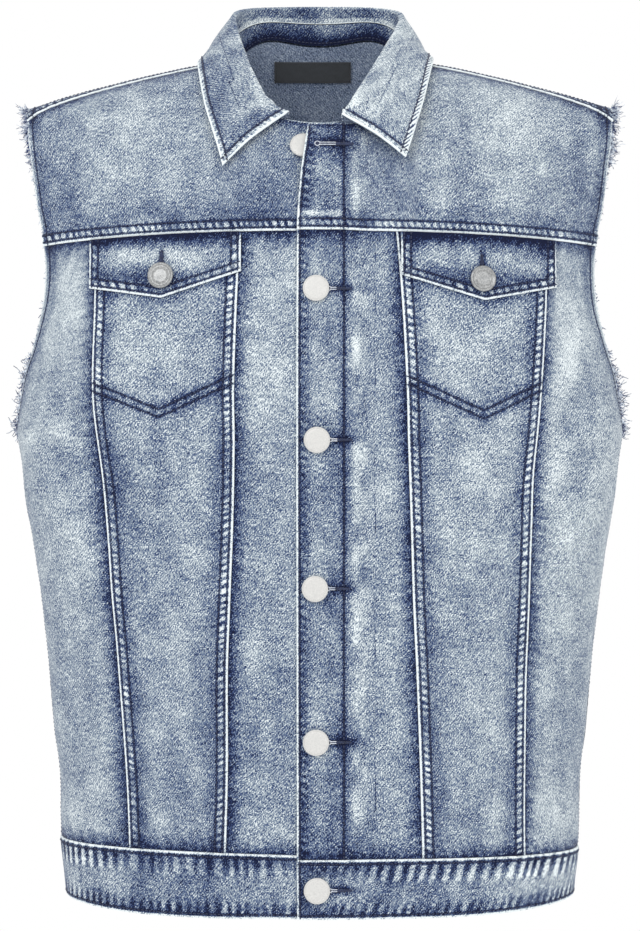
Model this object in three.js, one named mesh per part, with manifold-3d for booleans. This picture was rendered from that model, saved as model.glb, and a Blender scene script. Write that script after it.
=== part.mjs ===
// Sleeveless denim vest, filled out with no wearer. Millimetres, +Z up, front at -Y, +X at the viewer's right.
// The origin is in the middle of the neck, level with the inner ends of the shoulders, under the shoulder ridge.
import * as THREE from 'three';
import * as BufferGeometryUtils from 'three/addons/utils/BufferGeometryUtils.js';
import Module from 'manifold-3d';

// Cloth thicknesses and seams
const WALL = 1.4;
const DOUBLED = 0.6;
const LAP_RISE = 1.0;
const LAP_WIDTH = 8;
const LAP_STEP = 1.5;
const GAP = 0.3;
const BAND_WALL = 2.4;
const FLAP_WALL = 1.8;
const COLLAR_WALL = 1.8;

// The rounded body: a superellipse at each height, closed over the shoulders by a dome
const ROUNDNESS = 2.65;
const FRONT_BULGE_Z = -230;
const BACK_BULGE_Z = -170;
const bodySections = [
  { z: 40, half: 240, front: 116, back: 104 },
  { z: -33, half: 240, front: 116, back: 104 },
  { z: -80, half: 233, front: 116, back: 104 },
  { z: -150, half: 227, front: 116, back: 104 },
  { z: -220, half: 230, front: 116, back: 103 },
  { z: -262, half: 234.4, front: 115.5, back: 101 },
  { z: -284, half: 236.4, front: 115, back: 100 },
  { z: -306, half: 232.6, front: 114.5, back: 98.5 },
  { z: -340, half: 228.8, front: 113, back: 96 },
  { z: -387, half: 221.4, front: 110, back: 92 },
  { z: -450, half: 214, front: 107, back: 89 },
  { z: -512, half: 209, front: 105, back: 88 },
  { z: -551, half: 204, front: 104, back: 89 },
  { z: -599, half: 202, front: 103, back: 91 },
  { z: -636, half: 198, front: 102, back: 93 },
  { z: -670, half: 195, front: 101, back: 93 },
];
const HPS_X = 77;
const NECK_Z = 5;
const SHOULDER_TIP_X = 228;
const SHOULDER_DROP = 35;
const BACK_NECK_RISE = 75;
const SHOULDER_SEAM_Y = 18.5;

// Neckline
const NECK_DROP_LEFT = 50;
const NECK_DROP_RIGHT = 55;
const NECK_CORNER_Z = 2;
const BACK_NECK_ANGLE = 58.7;
const NECK_CORNER_ANGLE = 99.2;
const BACK_NECK_POWER = 2.27;
const NECK_FRONT_Z = -50;
const NECK_SHARE = 0.4;
const SHOULDER_GAP_ANGLE = 0.0055;

// Seams
const FRONT_YOKE_Z = -134;
const BACK_YOKE_Z = -140;
const FRONT_YOKE_SAG = 8;
const BACK_YOKE_SAG = 6;
const YOKE_SIDE_X = 212;
const UNDERARM_Z = -284;
const UNDERARM_ROW = 0.7;
const SIDE_SEAM_TURN = 2e-4;
const PANEL_MIDDLE_Z = -370;
const FRONT_MIDDLE_WIDTH = 104;
const BACK_CENTRE_WIDTH = 170;
const armholeEdge = [
  { z: -20, x: 230 }, { z: -35, x: 229.5 }, { z: -77, x: 223 }, { z: -110, x: 217.5 }, { z: -132, x: 213 },
  { z: -162, x: 210.5 }, { z: -188, x: 212.5 }, { z: -219, x: 221 }, { z: -239, x: 228 }, { z: -262, x: 232.6 },
  { z: UNDERARM_Z, x: 236.4 },
];
const frontSeams = [
  { z: -120, leftOuter: -174, leftInner: -59, rightInner: 56, rightOuter: 173 },
  { z: -180, leftOuter: -171, leftInner: -62, rightInner: 61, rightOuter: 172 },
  { z: -252, leftOuter: -172.6, leftInner: -64.4, rightInner: 65, rightOuter: 168 },
  { z: -292, leftOuter: -169.7, leftInner: -64, rightInner: 66, rightOuter: 165 },
  { z: -350, leftOuter: -162.3, leftInner: -65, rightInner: 68, rightOuter: 161 },
  { z: -415, leftOuter: -157, leftInner: -67.5, rightInner: 70, rightOuter: 158.8 },
  { z: -466, leftOuter: -153, leftInner: -69.3, rightInner: 72.5, rightOuter: 156.8 },
  { z: -547, leftOuter: -147, leftInner: -69.5, rightInner: 75.5, rightOuter: 156 },
  { z: -620, leftOuter: -144, leftInner: -71.5, rightInner: 77.5, rightOuter: 156 },
];
const backSeams = [
  { z: -120, x: 99 }, { z: -300, x: 93 }, { z: -450, x: 81 }, { z: -620, x: 71 },
];
const OVER_EDGE_X = -17.4;
const overEdge = [
  { z: -40, x: -8.2 }, { z: -70, x: -11.5 }, { z: -92, x: -14.5 }, { z: -134, x: OVER_EDGE_X },
  { z: -660, x: OVER_EDGE_X },
];
const PLACKET_STITCH_X = 18;
const PLACKET_STEP = 2;
const UNDER_EDGE_X = 14.5;
const UNDER_LAP_X = { from: -20, to: -24 };

// How far the over front stands off the under front, and how much more beside the open top button
const OVER_RISE = 2.0;
const OVER_EASE_X = 38;
const OVER_LOW_RISE = { from: -570, to: -603 };
const OVER_BAND_RISE = 3.0;
const OVER_BAND_EASE = { from: 18, to: 62 };
const OPEN_RISE = 5.8;
const OPEN_Z = -69;
const OPEN_SPREAD = 32;
const OPEN_EASE = { from: 2, to: 36 };

// Waistband
const BAND_BOTTOM_Z = -654;
const BAND_SIDE_LIFT = 8;
const BAND_X = 198;
const BAND_MIDDLE_Z = -630;
const BAND_STEPS = 52;
const bandTops = {
  back: { middle: -604.5, slope: -0.02 },
  left: { middle: -606, slope: -0.0275 },
  right: { middle: -608.5, slope: 0 },
};

// The largest folds: a soft ridge (+) or trough (-) along a slanted line on the front or the back
const largeFolds = [
  { side: -1, x0: -205, z0: -262, x1: -120, z1: -370, height: -3.2, width: 17 },
  { side: -1, x0: -226, z0: -300, x1: -160, z1: -420, height: 2.6, width: 16 },
  { side: -1, x0: 208, z0: -258, x1: 135, z1: -352, height: -3.0, width: 16 },
  { side: -1, x0: 224, z0: -305, x1: 172, z1: -450, height: 2.4, width: 18 },
  { side: -1, x0: -42, z0: -230, x1: -36, z1: -560, height: -2.0, width: 15 },
  { side: -1, x0: 47, z0: -215, x1: 44, z1: -520, height: -1.8, width: 13 },
  { side: -1, x0: -112, z0: -430, x1: -96, z1: -585, height: -2.2, width: 20 },
  { side: -1, x0: 118, z0: -455, x1: 104, z1: -590, height: 2.0, width: 19 },
  { side: -1, x0: -196, z0: -430, x1: -180, z1: -580, height: -3.4, width: 17 },
  { side: -1, x0: 198, z0: -470, x1: 176, z1: -585, height: -3.0, width: 18 },
  { side: 1, x0: -204, z0: -250, x1: -118, z1: -350, height: -3.2, width: 18 },
  { side: 1, x0: 206, z0: -256, x1: 126, z1: -368, height: -3.0, width: 17 },
  { side: 1, x0: -46, z0: -330, x1: -30, z1: -560, height: -2.6, width: 20 },
  { side: 1, x0: 52, z0: -390, x1: 40, z1: -580, height: 2.2, width: 19 },
  { side: 1, x0: -150, z0: -440, x1: -132, z1: -590, height: 2.4, width: 18 },
  { side: 1, x0: 160, z0: -420, x1: 140, z1: -585, height: -2.8, width: 20 },
];

// Collar: neck is the place on the neckline (0 centre front, 1 shoulder seam, 2 centre back), roll is the top
// of the fold and edge is the free edge of the leaf
const collarLeft = [
  { neck: 0.207, roll: [-24.5, -77, -42], edge: [-74, -95, -84] },
  { neck: 0.31, roll: [-33.5, -74, -38], edge: [-78, -90, -69] },
  { neck: 0.43, roll: [-43, -64, -28], edge: [-83, -81, -53] },
  { neck: 0.6, roll: [-52, -46, -10], edge: [-88.5, -69, -35] },
  { neck: 0.8, roll: [-58.5, -28, 8], edge: [-93, -46, -12] },
  { neck: 1.0, roll: [-63.5, -12, 22], edge: [-95, -22, 2] },
  { neck: 1.107, roll: [-67, 2, 35], edge: [-94, 4, 6] },
  { neck: 1.25, roll: [-68, 20, 47], edge: [-91, 28, 2] },
  { neck: 1.45, roll: [-59, 37, 54], edge: [-78, 50, -3] },
  { neck: 1.7, roll: [-36, 48, 57], edge: [-45, 68, -1] },
  { neck: 2.0, roll: [0, 52, 58], edge: [0, 74, 1] },
];
const collarRight = [
  { neck: 0.144, roll: [17.3, -83, -44.5], edge: [65, -98, -78] },
  { neck: 0.26, roll: [24, -78, -34], edge: [70, -91, -63] },
  { neck: 0.4, roll: [31.5, -66, -22], edge: [75, -83, -47] },
  { neck: 0.58, roll: [40.5, -48, -6], edge: [80, -69, -30] },
  { neck: 0.78, roll: [48.5, -30, 9], edge: [85, -46, -9] },
  { neck: 1.0, roll: [55, -13, 21], edge: [88, -22, 4] },
  { neck: 1.107, roll: [60, 2, 31], edge: [88, 4, 9] },
  { neck: 1.25, roll: [65, 20, 45], edge: [86, 28, 4] },
  { neck: 1.45, roll: [58, 37, 53], edge: [77, 50, -2] },
  { neck: 1.7, roll: [36, 48, 57], edge: [45, 68, -1] },
];
const STAND_SHARE = 0.58;
const COLLAR_STEPS = 40;
const STAND_START = 1.4;
const STAND_SHOULDER_START = 1.1;
const STAND_SHOULDER_PLACE = 1.12;
const STAND_SHOULDER_SPREAD = 0.3;
const LEAF_BEND = 2.2;
const LEAF_BOW = 0.06;
const LEAF_BOW_UP = 0.8;
const LEAF_END_SHARE = 0.15;

// Flap corners on the front, and the two kinds of button
const flapLeft = { inner: -59.5, outer: -174, innerZ: -165, tipX: -119.6, tipZ: -184.7, outerZ: -176.7 };
const flapRight = { inner: 61, outer: 178.5, innerZ: -167.6, tipX: 124, tipZ: -186.5, outerZ: -176 };
const FLAP_REACH = { from: -150, to: -196 };
const FLAP_CLEAR = 0.9;
const FLAP_TOP_GAP = 0.5;
const FLAP_BUTTON_CLEAR = 0.2;
const BUTTON_RADIUS = 10;
const BUTTON_SIDES = 14;
const frontButtons = [
  { x: -13, z: -69, on: 'under' }, { x: -3, z: -178.5, on: 'over' }, { x: -2.3, z: -291.7, on: 'over' },
  { x: -3.8, z: -403.5, on: 'over' }, { x: -3, z: -519.7, on: 'over' }, { x: -2.3, z: -631.5, on: 'band' },
];
const flapButtons = { left: { x: -119, z: -168.5 }, right: { x: 121.7, z: -171 } };

// Neck label and armhole fringe
const LABEL = { x: -6, z: 7.7, width: 62, height: 16, wall: 0.8, clear: 0.8 };
const STRIP = 1.2;
const STRIP_GAP = 0.5;
const STRANDS = 62;
const ARMHOLE_CENTRE = { x: 300, z: -150 };
const STRAND_RADIUS = 0.55;
const SHORT_STRAND = 2.6;
const LONG_STRAND = 8;
const SHOULDER_FRINGE = { from: -95, to: -60 };
const UNDERARM_FRINGE = { from: -212, to: -245 };

// Small helpers
const toVector = (list) => new THREE.Vector3(...list);
const degrees = (angle) => (angle * Math.PI) / 180;
const mix = (a, b, t) => a + (b - a) * t;
const clamp = (value, low, high) => Math.min(high, Math.max(low, value));
const smooth = (low, high, value) => {
  const t = clamp((value - low) / (high - low), 0, 1);
  return t * t * (3 - 2 * t);
};

// A smooth curve through one column of a table that is sorted by another column
function readTable(rows, key, column, at) {
  const ascending = rows[0][key] < rows[rows.length - 1][key];
  const sorted = ascending ? rows : [...rows].reverse();
  const last = sorted.length - 1;
  const place = clamp(at, sorted[0][key], sorted[last][key]);
  let i = 0;
  while (i < last - 1 && sorted[i + 1][key] < place) i += 1;
  const slope = (k) => {
    const a = sorted[Math.max(k - 1, 0)];
    const b = sorted[Math.min(k + 1, last)];
    return (b[column] - a[column]) / (b[key] - a[key]);
  };
  const [a, b] = [sorted[i], sorted[i + 1]];
  const span = b[key] - a[key];
  const t = (place - a[key]) / span;
  const rise = span * (t * (1 - t) * (1 - t) * slope(i) - t * t * (1 - t) * slope(i + 1));
  return mix(a[column], b[column], t * t * (3 - 2 * t)) + rise;
}

const halfWidth = (z) => readTable(bodySections, 'z', 'half', z);
const depthAt = (z, side) => readTable(bodySections, 'z', side < 0 ? 'front' : 'back', z);
const bulgeZ = (side) => (side < 0 ? FRONT_BULGE_Z : BACK_BULGE_Z);

// Height of the shoulder ridge
function ridge(x) {
  const past = Math.max(Math.abs(x) - HPS_X, 0) / (SHOULDER_TIP_X - HPS_X);
  return NECK_Z - SHOULDER_DROP * past ** 1.2;
}

// Depth of the body at x before the shoulder dome closes it; side is -1 at the front and 1 at the back
function plainDepth(x, z, side) {
  const across = clamp(Math.abs(x) / halfWidth(z), 0, 1);
  return depthAt(z, side) * (1 - across ** ROUNDNESS) ** (1 / ROUNDNESS);
}

// A point of the body by x and height, below the yokes
function bodyPoint(x, z, side) {
  const middle = bulgeZ(side);
  const up = clamp((z - middle) / (ridge(x) - middle), 0, 1);
  return [x, side * plainDepth(x, z, side) * Math.sqrt(1 - up * up), z];
}

// A point of the body by x and dome angle, 90 degrees being the ridge; past it the point lies on the other side
function domePoint(x, angle, side) {
  const over = angle > Math.PI / 2;
  const face = over ? -side : side;
  const turn = over ? Math.PI - angle : angle;
  const middle = bulgeZ(face);
  const neckRise = face > 0 ? BACK_NECK_RISE * (1 - Math.min(Math.abs(x) / HPS_X, 1) ** 4) ** 2 : 0;
  const z = middle + (ridge(x) - middle) * Math.sin(turn) + neckRise * Math.sin(turn) ** 3;
  return [x, face * plainDepth(x, z, face) * Math.cos(turn), z];
}

const domeAngle = (x, z, side) => Math.asin(clamp((z - bulgeZ(side)) / (ridge(x) - bulgeZ(side)), -1, 1));

// Height of the folds above the plain form
function foldHeight(x, z, side) {
  let total = 0;
  for (const fold of largeFolds) {
    if (fold.side !== side) continue;
    const [dx, dz] = [fold.x1 - fold.x0, fold.z1 - fold.z0];
    const length = Math.hypot(dx, dz);
    const along = ((x - fold.x0) * dx + (z - fold.z0) * dz) / (length * length);
    const across = ((x - fold.x0) * dz - (z - fold.z0) * dx) / length;
    const ends = smooth(-0.25, 0.3, along) * (1 - smooth(0.7, 1.25, along));
    total += fold.height * ends * Math.exp(-((across / fold.width) ** 2));
  }
  return total;
}

// Seam lines
const frontYokeZ = (x) => FRONT_YOKE_Z - FRONT_YOKE_SAG * (x / YOKE_SIDE_X) ** 2;
const backYokeZ = (x) => BACK_YOKE_Z - BACK_YOKE_SAG * (x / YOKE_SIDE_X) ** 2;
const armholeX = (z) => readTable(armholeEdge, 'z', 'x', z);
function bandTopZ(x, side, half) {
  const frontTop = half < 0 ? bandTops.left : bandTops.right;
  const { middle, slope } = side > 0 ? bandTops.back : frontTop;
  return middle + slope * x;
}
const bandBottomZ = (x) => BAND_BOTTOM_Z + BAND_SIDE_LIFT * Math.abs(x / BAND_X) ** 4;

// How far the over front stands off
function overRise(x, z) {
  const low = smooth(OVER_LOW_RISE.from, OVER_LOW_RISE.to, z);
  const flat = (OVER_RISE + low) * (1 - smooth(PLACKET_STITCH_X, OVER_EASE_X, x));
  const beside = 1 - smooth(OPEN_EASE.from, OPEN_EASE.to, x);
  return flat + OPEN_RISE * beside * Math.exp(-(((z - OPEN_Z) / OPEN_SPREAD) ** 2));
}
// The turned-in facing doubles the over front as far as the placket's stitching
const doubledBy = (x) => DOUBLED * (1 - smooth(PLACKET_STITCH_X, PLACKET_STITCH_X + PLACKET_STEP, x));
const lapAcross = (distance) => LAP_RISE * (1 - smooth(LAP_WIDTH, LAP_WIDTH + LAP_STEP, distance));

// A closed wall over a grid: pointAt(u, v) gives its base, lift(u, v, point) how far the inner and outer faces lie
// from it, and facing is 1 or -1 for the side of the grid that is the outside
const NORMAL_STEP = 0.002;
function shell({ pointAt, columns, rows, lift, facing }) {
  const inner = [];
  const outer = [];
  for (const v of rows) {
    for (const u of columns) {
      const [u0, u1] = [Math.max(u - NORMAL_STEP, 0), Math.min(u + NORMAL_STEP, 1)];
      const [v0, v1] = [Math.max(v - NORMAL_STEP, 0), Math.min(v + NORMAL_STEP, 1)];
      const across = toVector(pointAt(u1, v)).sub(toVector(pointAt(u0, v)));
      const along = toVector(pointAt(u, v1)).sub(toVector(pointAt(u, v0)));
      const normal = across.cross(along).normalize().multiplyScalar(facing);
      const base = toVector(pointAt(u, v));
      const [low, high] = lift(u, v, base);
      inner.push(base.clone().addScaledVector(normal, low));
      outer.push(base.clone().addScaledVector(normal, high));
    }
  }
  return closedWall(inner, outer, columns.length, rows.length);
}

// Joins two grids of points and their rims into one closed body
function closedWall(inner, outer, across, along) {
  const points = [...inner, ...outer];
  const faces = [];
  const quad = (a, b, c, d) => faces.push(a, b, c, a, c, d);
  const at = (i, j, layer) => layer * across * along + j * across + i;
  for (let j = 0; j < along - 1; j += 1) {
    for (let i = 0; i < across - 1; i += 1) {
      quad(at(i, j, 1), at(i + 1, j, 1), at(i + 1, j + 1, 1), at(i, j + 1, 1));
      quad(at(i, j, 0), at(i, j + 1, 0), at(i + 1, j + 1, 0), at(i + 1, j, 0));
    }
  }
  for (let i = 0; i < across - 1; i += 1) {
    quad(at(i, 0, 0), at(i + 1, 0, 0), at(i + 1, 0, 1), at(i, 0, 1));
    quad(at(i + 1, along - 1, 0), at(i, along - 1, 0), at(i, along - 1, 1), at(i + 1, along - 1, 1));
  }
  for (let j = 0; j < along - 1; j += 1) {
    quad(at(0, j + 1, 0), at(0, j, 0), at(0, j, 1), at(0, j + 1, 1));
    quad(at(across - 1, j, 0), at(across - 1, j + 1, 0), at(across - 1, j + 1, 1), at(across - 1, j, 1));
  }
  return closedGeometry(points, faces);
}

// Makes a geometry whose faces point out, whichever way round they were given
function closedGeometry(points, faces) {
  let volume = 0;
  for (let k = 0; k < faces.length; k += 3) {
    const [a, b, c] = [points[faces[k]], points[faces[k + 1]], points[faces[k + 2]]];
    volume += a.dot(b.clone().cross(c));
  }
  const index = [...faces];
  if (volume < 0) {
    for (let k = 0; k < index.length; k += 3) [index[k + 1], index[k + 2]] = [index[k + 2], index[k + 1]];
  }
  const geometry = new THREE.BufferGeometry();
  geometry.setAttribute('position', new THREE.Float32BufferAttribute(points.flatMap((p) => p.toArray()), 3));
  geometry.setIndex(index);
  return geometry;
}

// Even steps from 0 to 1, and the same with a pair of lines where a lap steps down near each end
const evenLines = (count) => Array.from({ length: count + 1 }, (_, k) => k / count);
function lappedLines(count, width) {
  const flat = LAP_WIDTH / width;
  const stepped = (LAP_WIDTH + LAP_STEP) / width;
  return [0, flat, ...evenLines(count).map((t) => mix(stepped, 1 - stepped, t)), 1 - flat, 1];
}

// Neckline place to x and dome angle: 0 to 1 runs up the front, 1 to 2 over the ridge to the centre back
function neckPlace(place, sign) {
  if (place <= 1) {
    const turn = degrees(90 * place);
    const x = HPS_X * Math.sin(turn);
    const drop = sign < 0 ? NECK_DROP_LEFT : NECK_DROP_RIGHT;
    return { x, angle: domeAngle(x, NECK_CORNER_Z - drop * Math.cos(turn), -1), side: -1 };
  }
  const back = 2 - place;
  const rise = (NECK_CORNER_ANGLE - BACK_NECK_ANGLE) * back ** BACK_NECK_POWER;
  return { x: HPS_X * Math.sin(degrees(90 * back)), angle: degrees(BACK_NECK_ANGLE + rise), side: 1 };
}
function neckPoint(place, sign) {
  const { x, angle, side } = neckPlace(place, sign);
  const point = toVector(domePoint(sign * x, angle, side));
  if (sign < 0 || side > 0) return point;
  const step = 0.01;
  const across = toVector(domePoint(x + 1, angle, side)).sub(toVector(domePoint(x - 1, angle, side)));
  const up = toVector(domePoint(x, angle + step, side)).sub(toVector(domePoint(x, angle - step, side)));
  return point.addScaledVector(across.cross(up).normalize(), overRise(point.x, point.z));
}

// Dome angle of the shoulder seam on the front
const shoulderAngle = (x) => Math.acos(clamp(SHOULDER_SEAM_Y / plainDepth(x, ridge(x), -1), 0, 1));

// A front yoke: u runs from the front edge to the armhole, v from the chest seam to the neck and shoulder seam
const shoulderLines = [0.5, 0.6, 0.7, 0.8, 0.87, 0.94, 1];
function frontYokePoint(sign) {
  const over = sign > 0;
  const edgeX = (z) => (over ? readTable(overEdge, 'z', 'x', z) : UNDER_EDGE_X) * (over ? 1 : -1);
  const startPlace = Math.asin(edgeX(NECK_FRONT_Z) / HPS_X) / (Math.PI / 2);
  const sideStart = armholeX(frontYokeZ(YOKE_SIDE_X));
  return (u, v) => {
    const bottomX = mix(edgeX(FRONT_YOKE_Z), sideStart, u);
    const bottomAngle = domeAngle(bottomX, frontYokeZ(bottomX) + GAP / 2, -1);
    let top;
    if (u < NECK_SHARE) {
      top = neckPlace(mix(startPlace, 1, u / NECK_SHARE), sign);
    } else {
      const x = mix(HPS_X, SHOULDER_TIP_X, (u - NECK_SHARE) / (1 - NECK_SHARE));
      top = { x, angle: shoulderAngle(x) };
    }
    const angle = mix(bottomAngle, top.angle - SHOULDER_GAP_ANGLE, v);
    const straight = mix(bottomX, top.x, v);
    const sideX = mix(sideStart, SHOULDER_TIP_X, v);
    const sideLow = domeAngle(sideX, frontYokeZ(YOKE_SIDE_X), -1);
    const sideZ = domePoint(sideX, mix(sideLow, shoulderAngle(sideX), v), -1)[2];
    const pull = u ** 3 * (armholeX(sideZ) - sideX);
    const middleX = mix(edgeX(FRONT_YOKE_Z), edgeX(NECK_FRONT_Z), v);
    const middleZ = mix(FRONT_YOKE_Z, NECK_FRONT_Z, v);
    const push = (1 - u) ** 4 * (edgeX(middleZ) - middleX);
    return domePoint(sign * (straight + pull + push), angle, -1);
  };
}

// The back yoke: u runs from armhole to armhole, v from the back seam to the neckline and shoulder seams
function backYokePoint(u, v) {
  const place = 2 * u - 1;
  const sign = place < 0 ? -1 : 1;
  const share = Math.abs(place);
  const sideStart = armholeX(backYokeZ(YOKE_SIDE_X));
  const bottomX = share * sideStart;
  const bottomAngle = domeAngle(bottomX, backYokeZ(bottomX) + GAP / 2, 1);
  let top;
  if (share < NECK_SHARE) {
    top = neckPlace(2 - 0.9999 * (share / NECK_SHARE), sign);
  } else {
    const x = mix(HPS_X, SHOULDER_TIP_X, (share - NECK_SHARE) / (1 - NECK_SHARE));
    top = { x, angle: Math.PI - shoulderAngle(x) };
  }
  const angle = mix(bottomAngle, top.angle, v);
  const sideX = mix(sideStart, SHOULDER_TIP_X, v);
  const sideTop = Math.PI - shoulderAngle(SHOULDER_TIP_X);
  const sideZ = domePoint(sideX, mix(domeAngle(sideX, backYokeZ(sideX), 1), sideTop, v), 1)[2];
  const pull = share ** 3 * (armholeX(sideZ) - sideX);
  return domePoint(sign * (mix(bottomX, top.x, v) + pull), angle, 1);
}

// A lower panel between two seam lines; xAt(u, z) gives x, and one row of every panel is level with the underarm
function lowerPoint(xAt, side, sign) {
  const topAt = side < 0 ? frontYokeZ : backYokeZ;
  return (u, v) => {
    let z = PANEL_MIDDLE_Z;
    for (let pass = 0; pass < 4; pass += 1) {
      const x = xAt(u, z);
      const bottom = bandTopZ(sign * x, side, sign) + GAP / 2;
      z = v < UNDERARM_ROW
        ? mix(bottom, UNDERARM_Z, v / UNDERARM_ROW)
        : mix(UNDERARM_Z, topAt(x) - GAP / 2, (v - UNDERARM_ROW) / (1 - UNDERARM_ROW));
    }
    return bodyPoint(sign * xAt(u, z), z, side);
  };
}

// x across a side panel, from a seam line to the armhole or side seam, spaced evenly around the bend
function sidePanelX(seamX) {
  const turnOf = (x, z) => Math.asin(clamp(x / halfWidth(z), 0, 1) ** (ROUNDNESS / 2));
  const sideSeam = Math.PI / 2 - SIDE_SEAM_TURN;
  return (u, z) => {
    const start = turnOf(seamX(z) + GAP / 2, z);
    const end = z > UNDERARM_Z ? Math.min(turnOf(armholeX(z), z), sideSeam) : sideSeam;
    return halfWidth(z) * Math.sin(mix(start, end, u)) ** (2 / ROUNDNESS);
  };
}

const frontYokeRows = [0, 0.062, 0.075, 0.18, 0.29, 0.4, 0.51, 0.62, 0.73, 0.83, 0.92, 1];
const SHOULDER_LAP = { from: 0.945, to: 0.955 };
const backYokeRows = [
  0, 0.062, 0.075, 0.2, 0.33, 0.45, 0.57, 0.68, 0.78, 0.87, SHOULDER_LAP.from, SHOULDER_LAP.to, 1,
];
const lowerRows = [
  ...evenLines(10).map((t) => t * UNDERARM_ROW), 0.713, 0.737, 0.77, 0.82, 0.87, 0.93, 1,
];

const group = new THREE.Group();
const cloth = (color) => new THREE.MeshStandardMaterial({ color, roughness: 0.92, metalness: 0 });
const metal = (color) => new THREE.MeshStandardMaterial({ color, roughness: 0.35, metalness: 0.9 });
function add(name, geometry, material) {
  const mesh = new THREE.Mesh(geometry, material);
  mesh.name = name;
  group.add(mesh);
  return mesh;
}

// Front yokes
for (const [name, sign] of [['left', -1], ['right', 1]]) {
  const pointAt = frontYokePoint(sign);
  const neckLines = [0, 0.09, 0.18, 0.25, 0.32, NECK_SHARE];
  const lapped = (x) => (sign > 0 ? 1 : smooth(UNDER_LAP_X.from, UNDER_LAP_X.to, x));
  const lift = (u, v, p) => {
    const low = (sign > 0 ? overRise(p.x, p.z) : 0) + foldHeight(p.x, p.z, -1);
    const doubled = sign > 0 ? doubledBy(p.x) : 0;
    return [low, low + WALL + doubled + lapped(p.x) * lapAcross(p.z - frontYokeZ(p.x))];
  };
  const columns = [...neckLines, ...shoulderLines];
  const wall = shell({ pointAt, columns, rows: frontYokeRows, lift, facing: sign });
  add(`front_yoke_${name}`, wall, cloth(0xa7b2be));
}

// Lower front panels
for (const [name, sign] of [['left', -1], ['right', 1]]) {
  const inner = (z) => Math.abs(readTable(frontSeams, 'z', `${name}Inner`, z));
  const outer = (z) => Math.abs(readTable(frontSeams, 'z', `${name}Outer`, z));
  const edge = sign > 0 ? (z) => readTable(overEdge, 'z', 'x', z) : () => -UNDER_EDGE_X;
  const plain = (p) => (sign > 0 ? overRise(p.x, p.z) : 0) + foldHeight(p.x, p.z, -1);

  const centreX = (u, z) => mix(edge(z), inner(z) - GAP / 2, u);
  const centreLift = (u, v, p) => {
    const low = plain(p);
    return [low, low + WALL + (sign > 0 ? doubledBy(p.x) : 0)];
  };
  const centreLines = sign > 0 ? [0, 0.22, 0.4, 0.43, 0.62, 0.81, 1] : [0, 0.2, 0.4, 0.6, 0.8, 1];
  add(`front_centre_${name}`, shell({
    pointAt: lowerPoint(centreX, -1, sign), columns: centreLines, rows: lowerRows, lift: centreLift, facing: sign,
  }), cloth(0xa2adb9));

  const middleX = (u, z) => mix(inner(z) + GAP / 2, outer(z) - GAP / 2, u);
  const middleLift = (u, v, p) => {
    const low = plain(p);
    const x = Math.abs(p.x);
    const belowFlap = smooth(FLAP_REACH.from, FLAP_REACH.to, p.z);
    return [low, low + WALL + belowFlap * Math.max(lapAcross(x - inner(p.z)), lapAcross(outer(p.z) - x))];
  };
  add(`front_middle_${name}`, shell({
    pointAt: lowerPoint(middleX, -1, sign), columns: lappedLines(6, FRONT_MIDDLE_WIDTH), rows: lowerRows,
    lift: middleLift, facing: sign,
  }), cloth(0xabb6c1));

  add(`front_side_${name}`, shell({
    pointAt: lowerPoint(sidePanelX(outer), -1, sign), columns: evenLines(7), rows: lowerRows,
    lift: (u, v, p) => [plain(p), plain(p) + WALL], facing: sign,
  }), cloth(0xadb8c2));
}

// Back yoke and lower back panels
{
  const half = [0, 0.06, 0.13, 0.2, 0.27, 0.34, NECK_SHARE, ...shoulderLines];
  const columns = [...half.slice(1).reverse().map((u) => 0.5 - u / 2), ...half.map((u) => 0.5 + u / 2)];
  const lift = (u, v, p) => {
    const onShoulder = Math.abs(2 * u - 1) > NECK_SHARE;
    const shoulder = onShoulder ? LAP_RISE * smooth(SHOULDER_LAP.from, SHOULDER_LAP.to, v) : 0;
    const bottom = v < 0.5 ? lapAcross(p.z - backYokeZ(p.x)) : 0;
    const low = foldHeight(p.x, p.z, 1);
    return [low, low + WALL + bottom + shoulder];
  };
  const wall = shell({ pointAt: backYokePoint, columns, rows: backYokeRows, lift, facing: -1 });
  add('back_yoke', wall, cloth(0xa3aeba));
}
const backSeam = (z) => readTable(backSeams, 'z', 'x', z);
const backLift = (lap) => (u, v, p) => {
  const low = foldHeight(p.x, p.z, 1);
  return [low, low + WALL + lap(p)];
};
{
  const centreX = (u, z) => mix(-backSeam(z) + GAP / 2, backSeam(z) - GAP / 2, u);
  const lap = (p) => lapAcross(backSeam(p.z) - Math.abs(p.x));
  add('back_centre', shell({
    pointAt: lowerPoint(centreX, 1, 1), columns: lappedLines(8, BACK_CENTRE_WIDTH), rows: lowerRows,
    lift: backLift(lap), facing: -1,
  }), cloth(0xa5b0bc));
}
for (const [name, sign] of [['left', -1], ['right', 1]]) {
  add(`back_side_${name}`, shell({
    pointAt: lowerPoint(sidePanelX(backSeam), 1, sign), columns: evenLines(9), rows: lowerRows,
    lift: backLift(() => 0), facing: -sign,
  }), cloth(0xa9b4bf));
}

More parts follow.
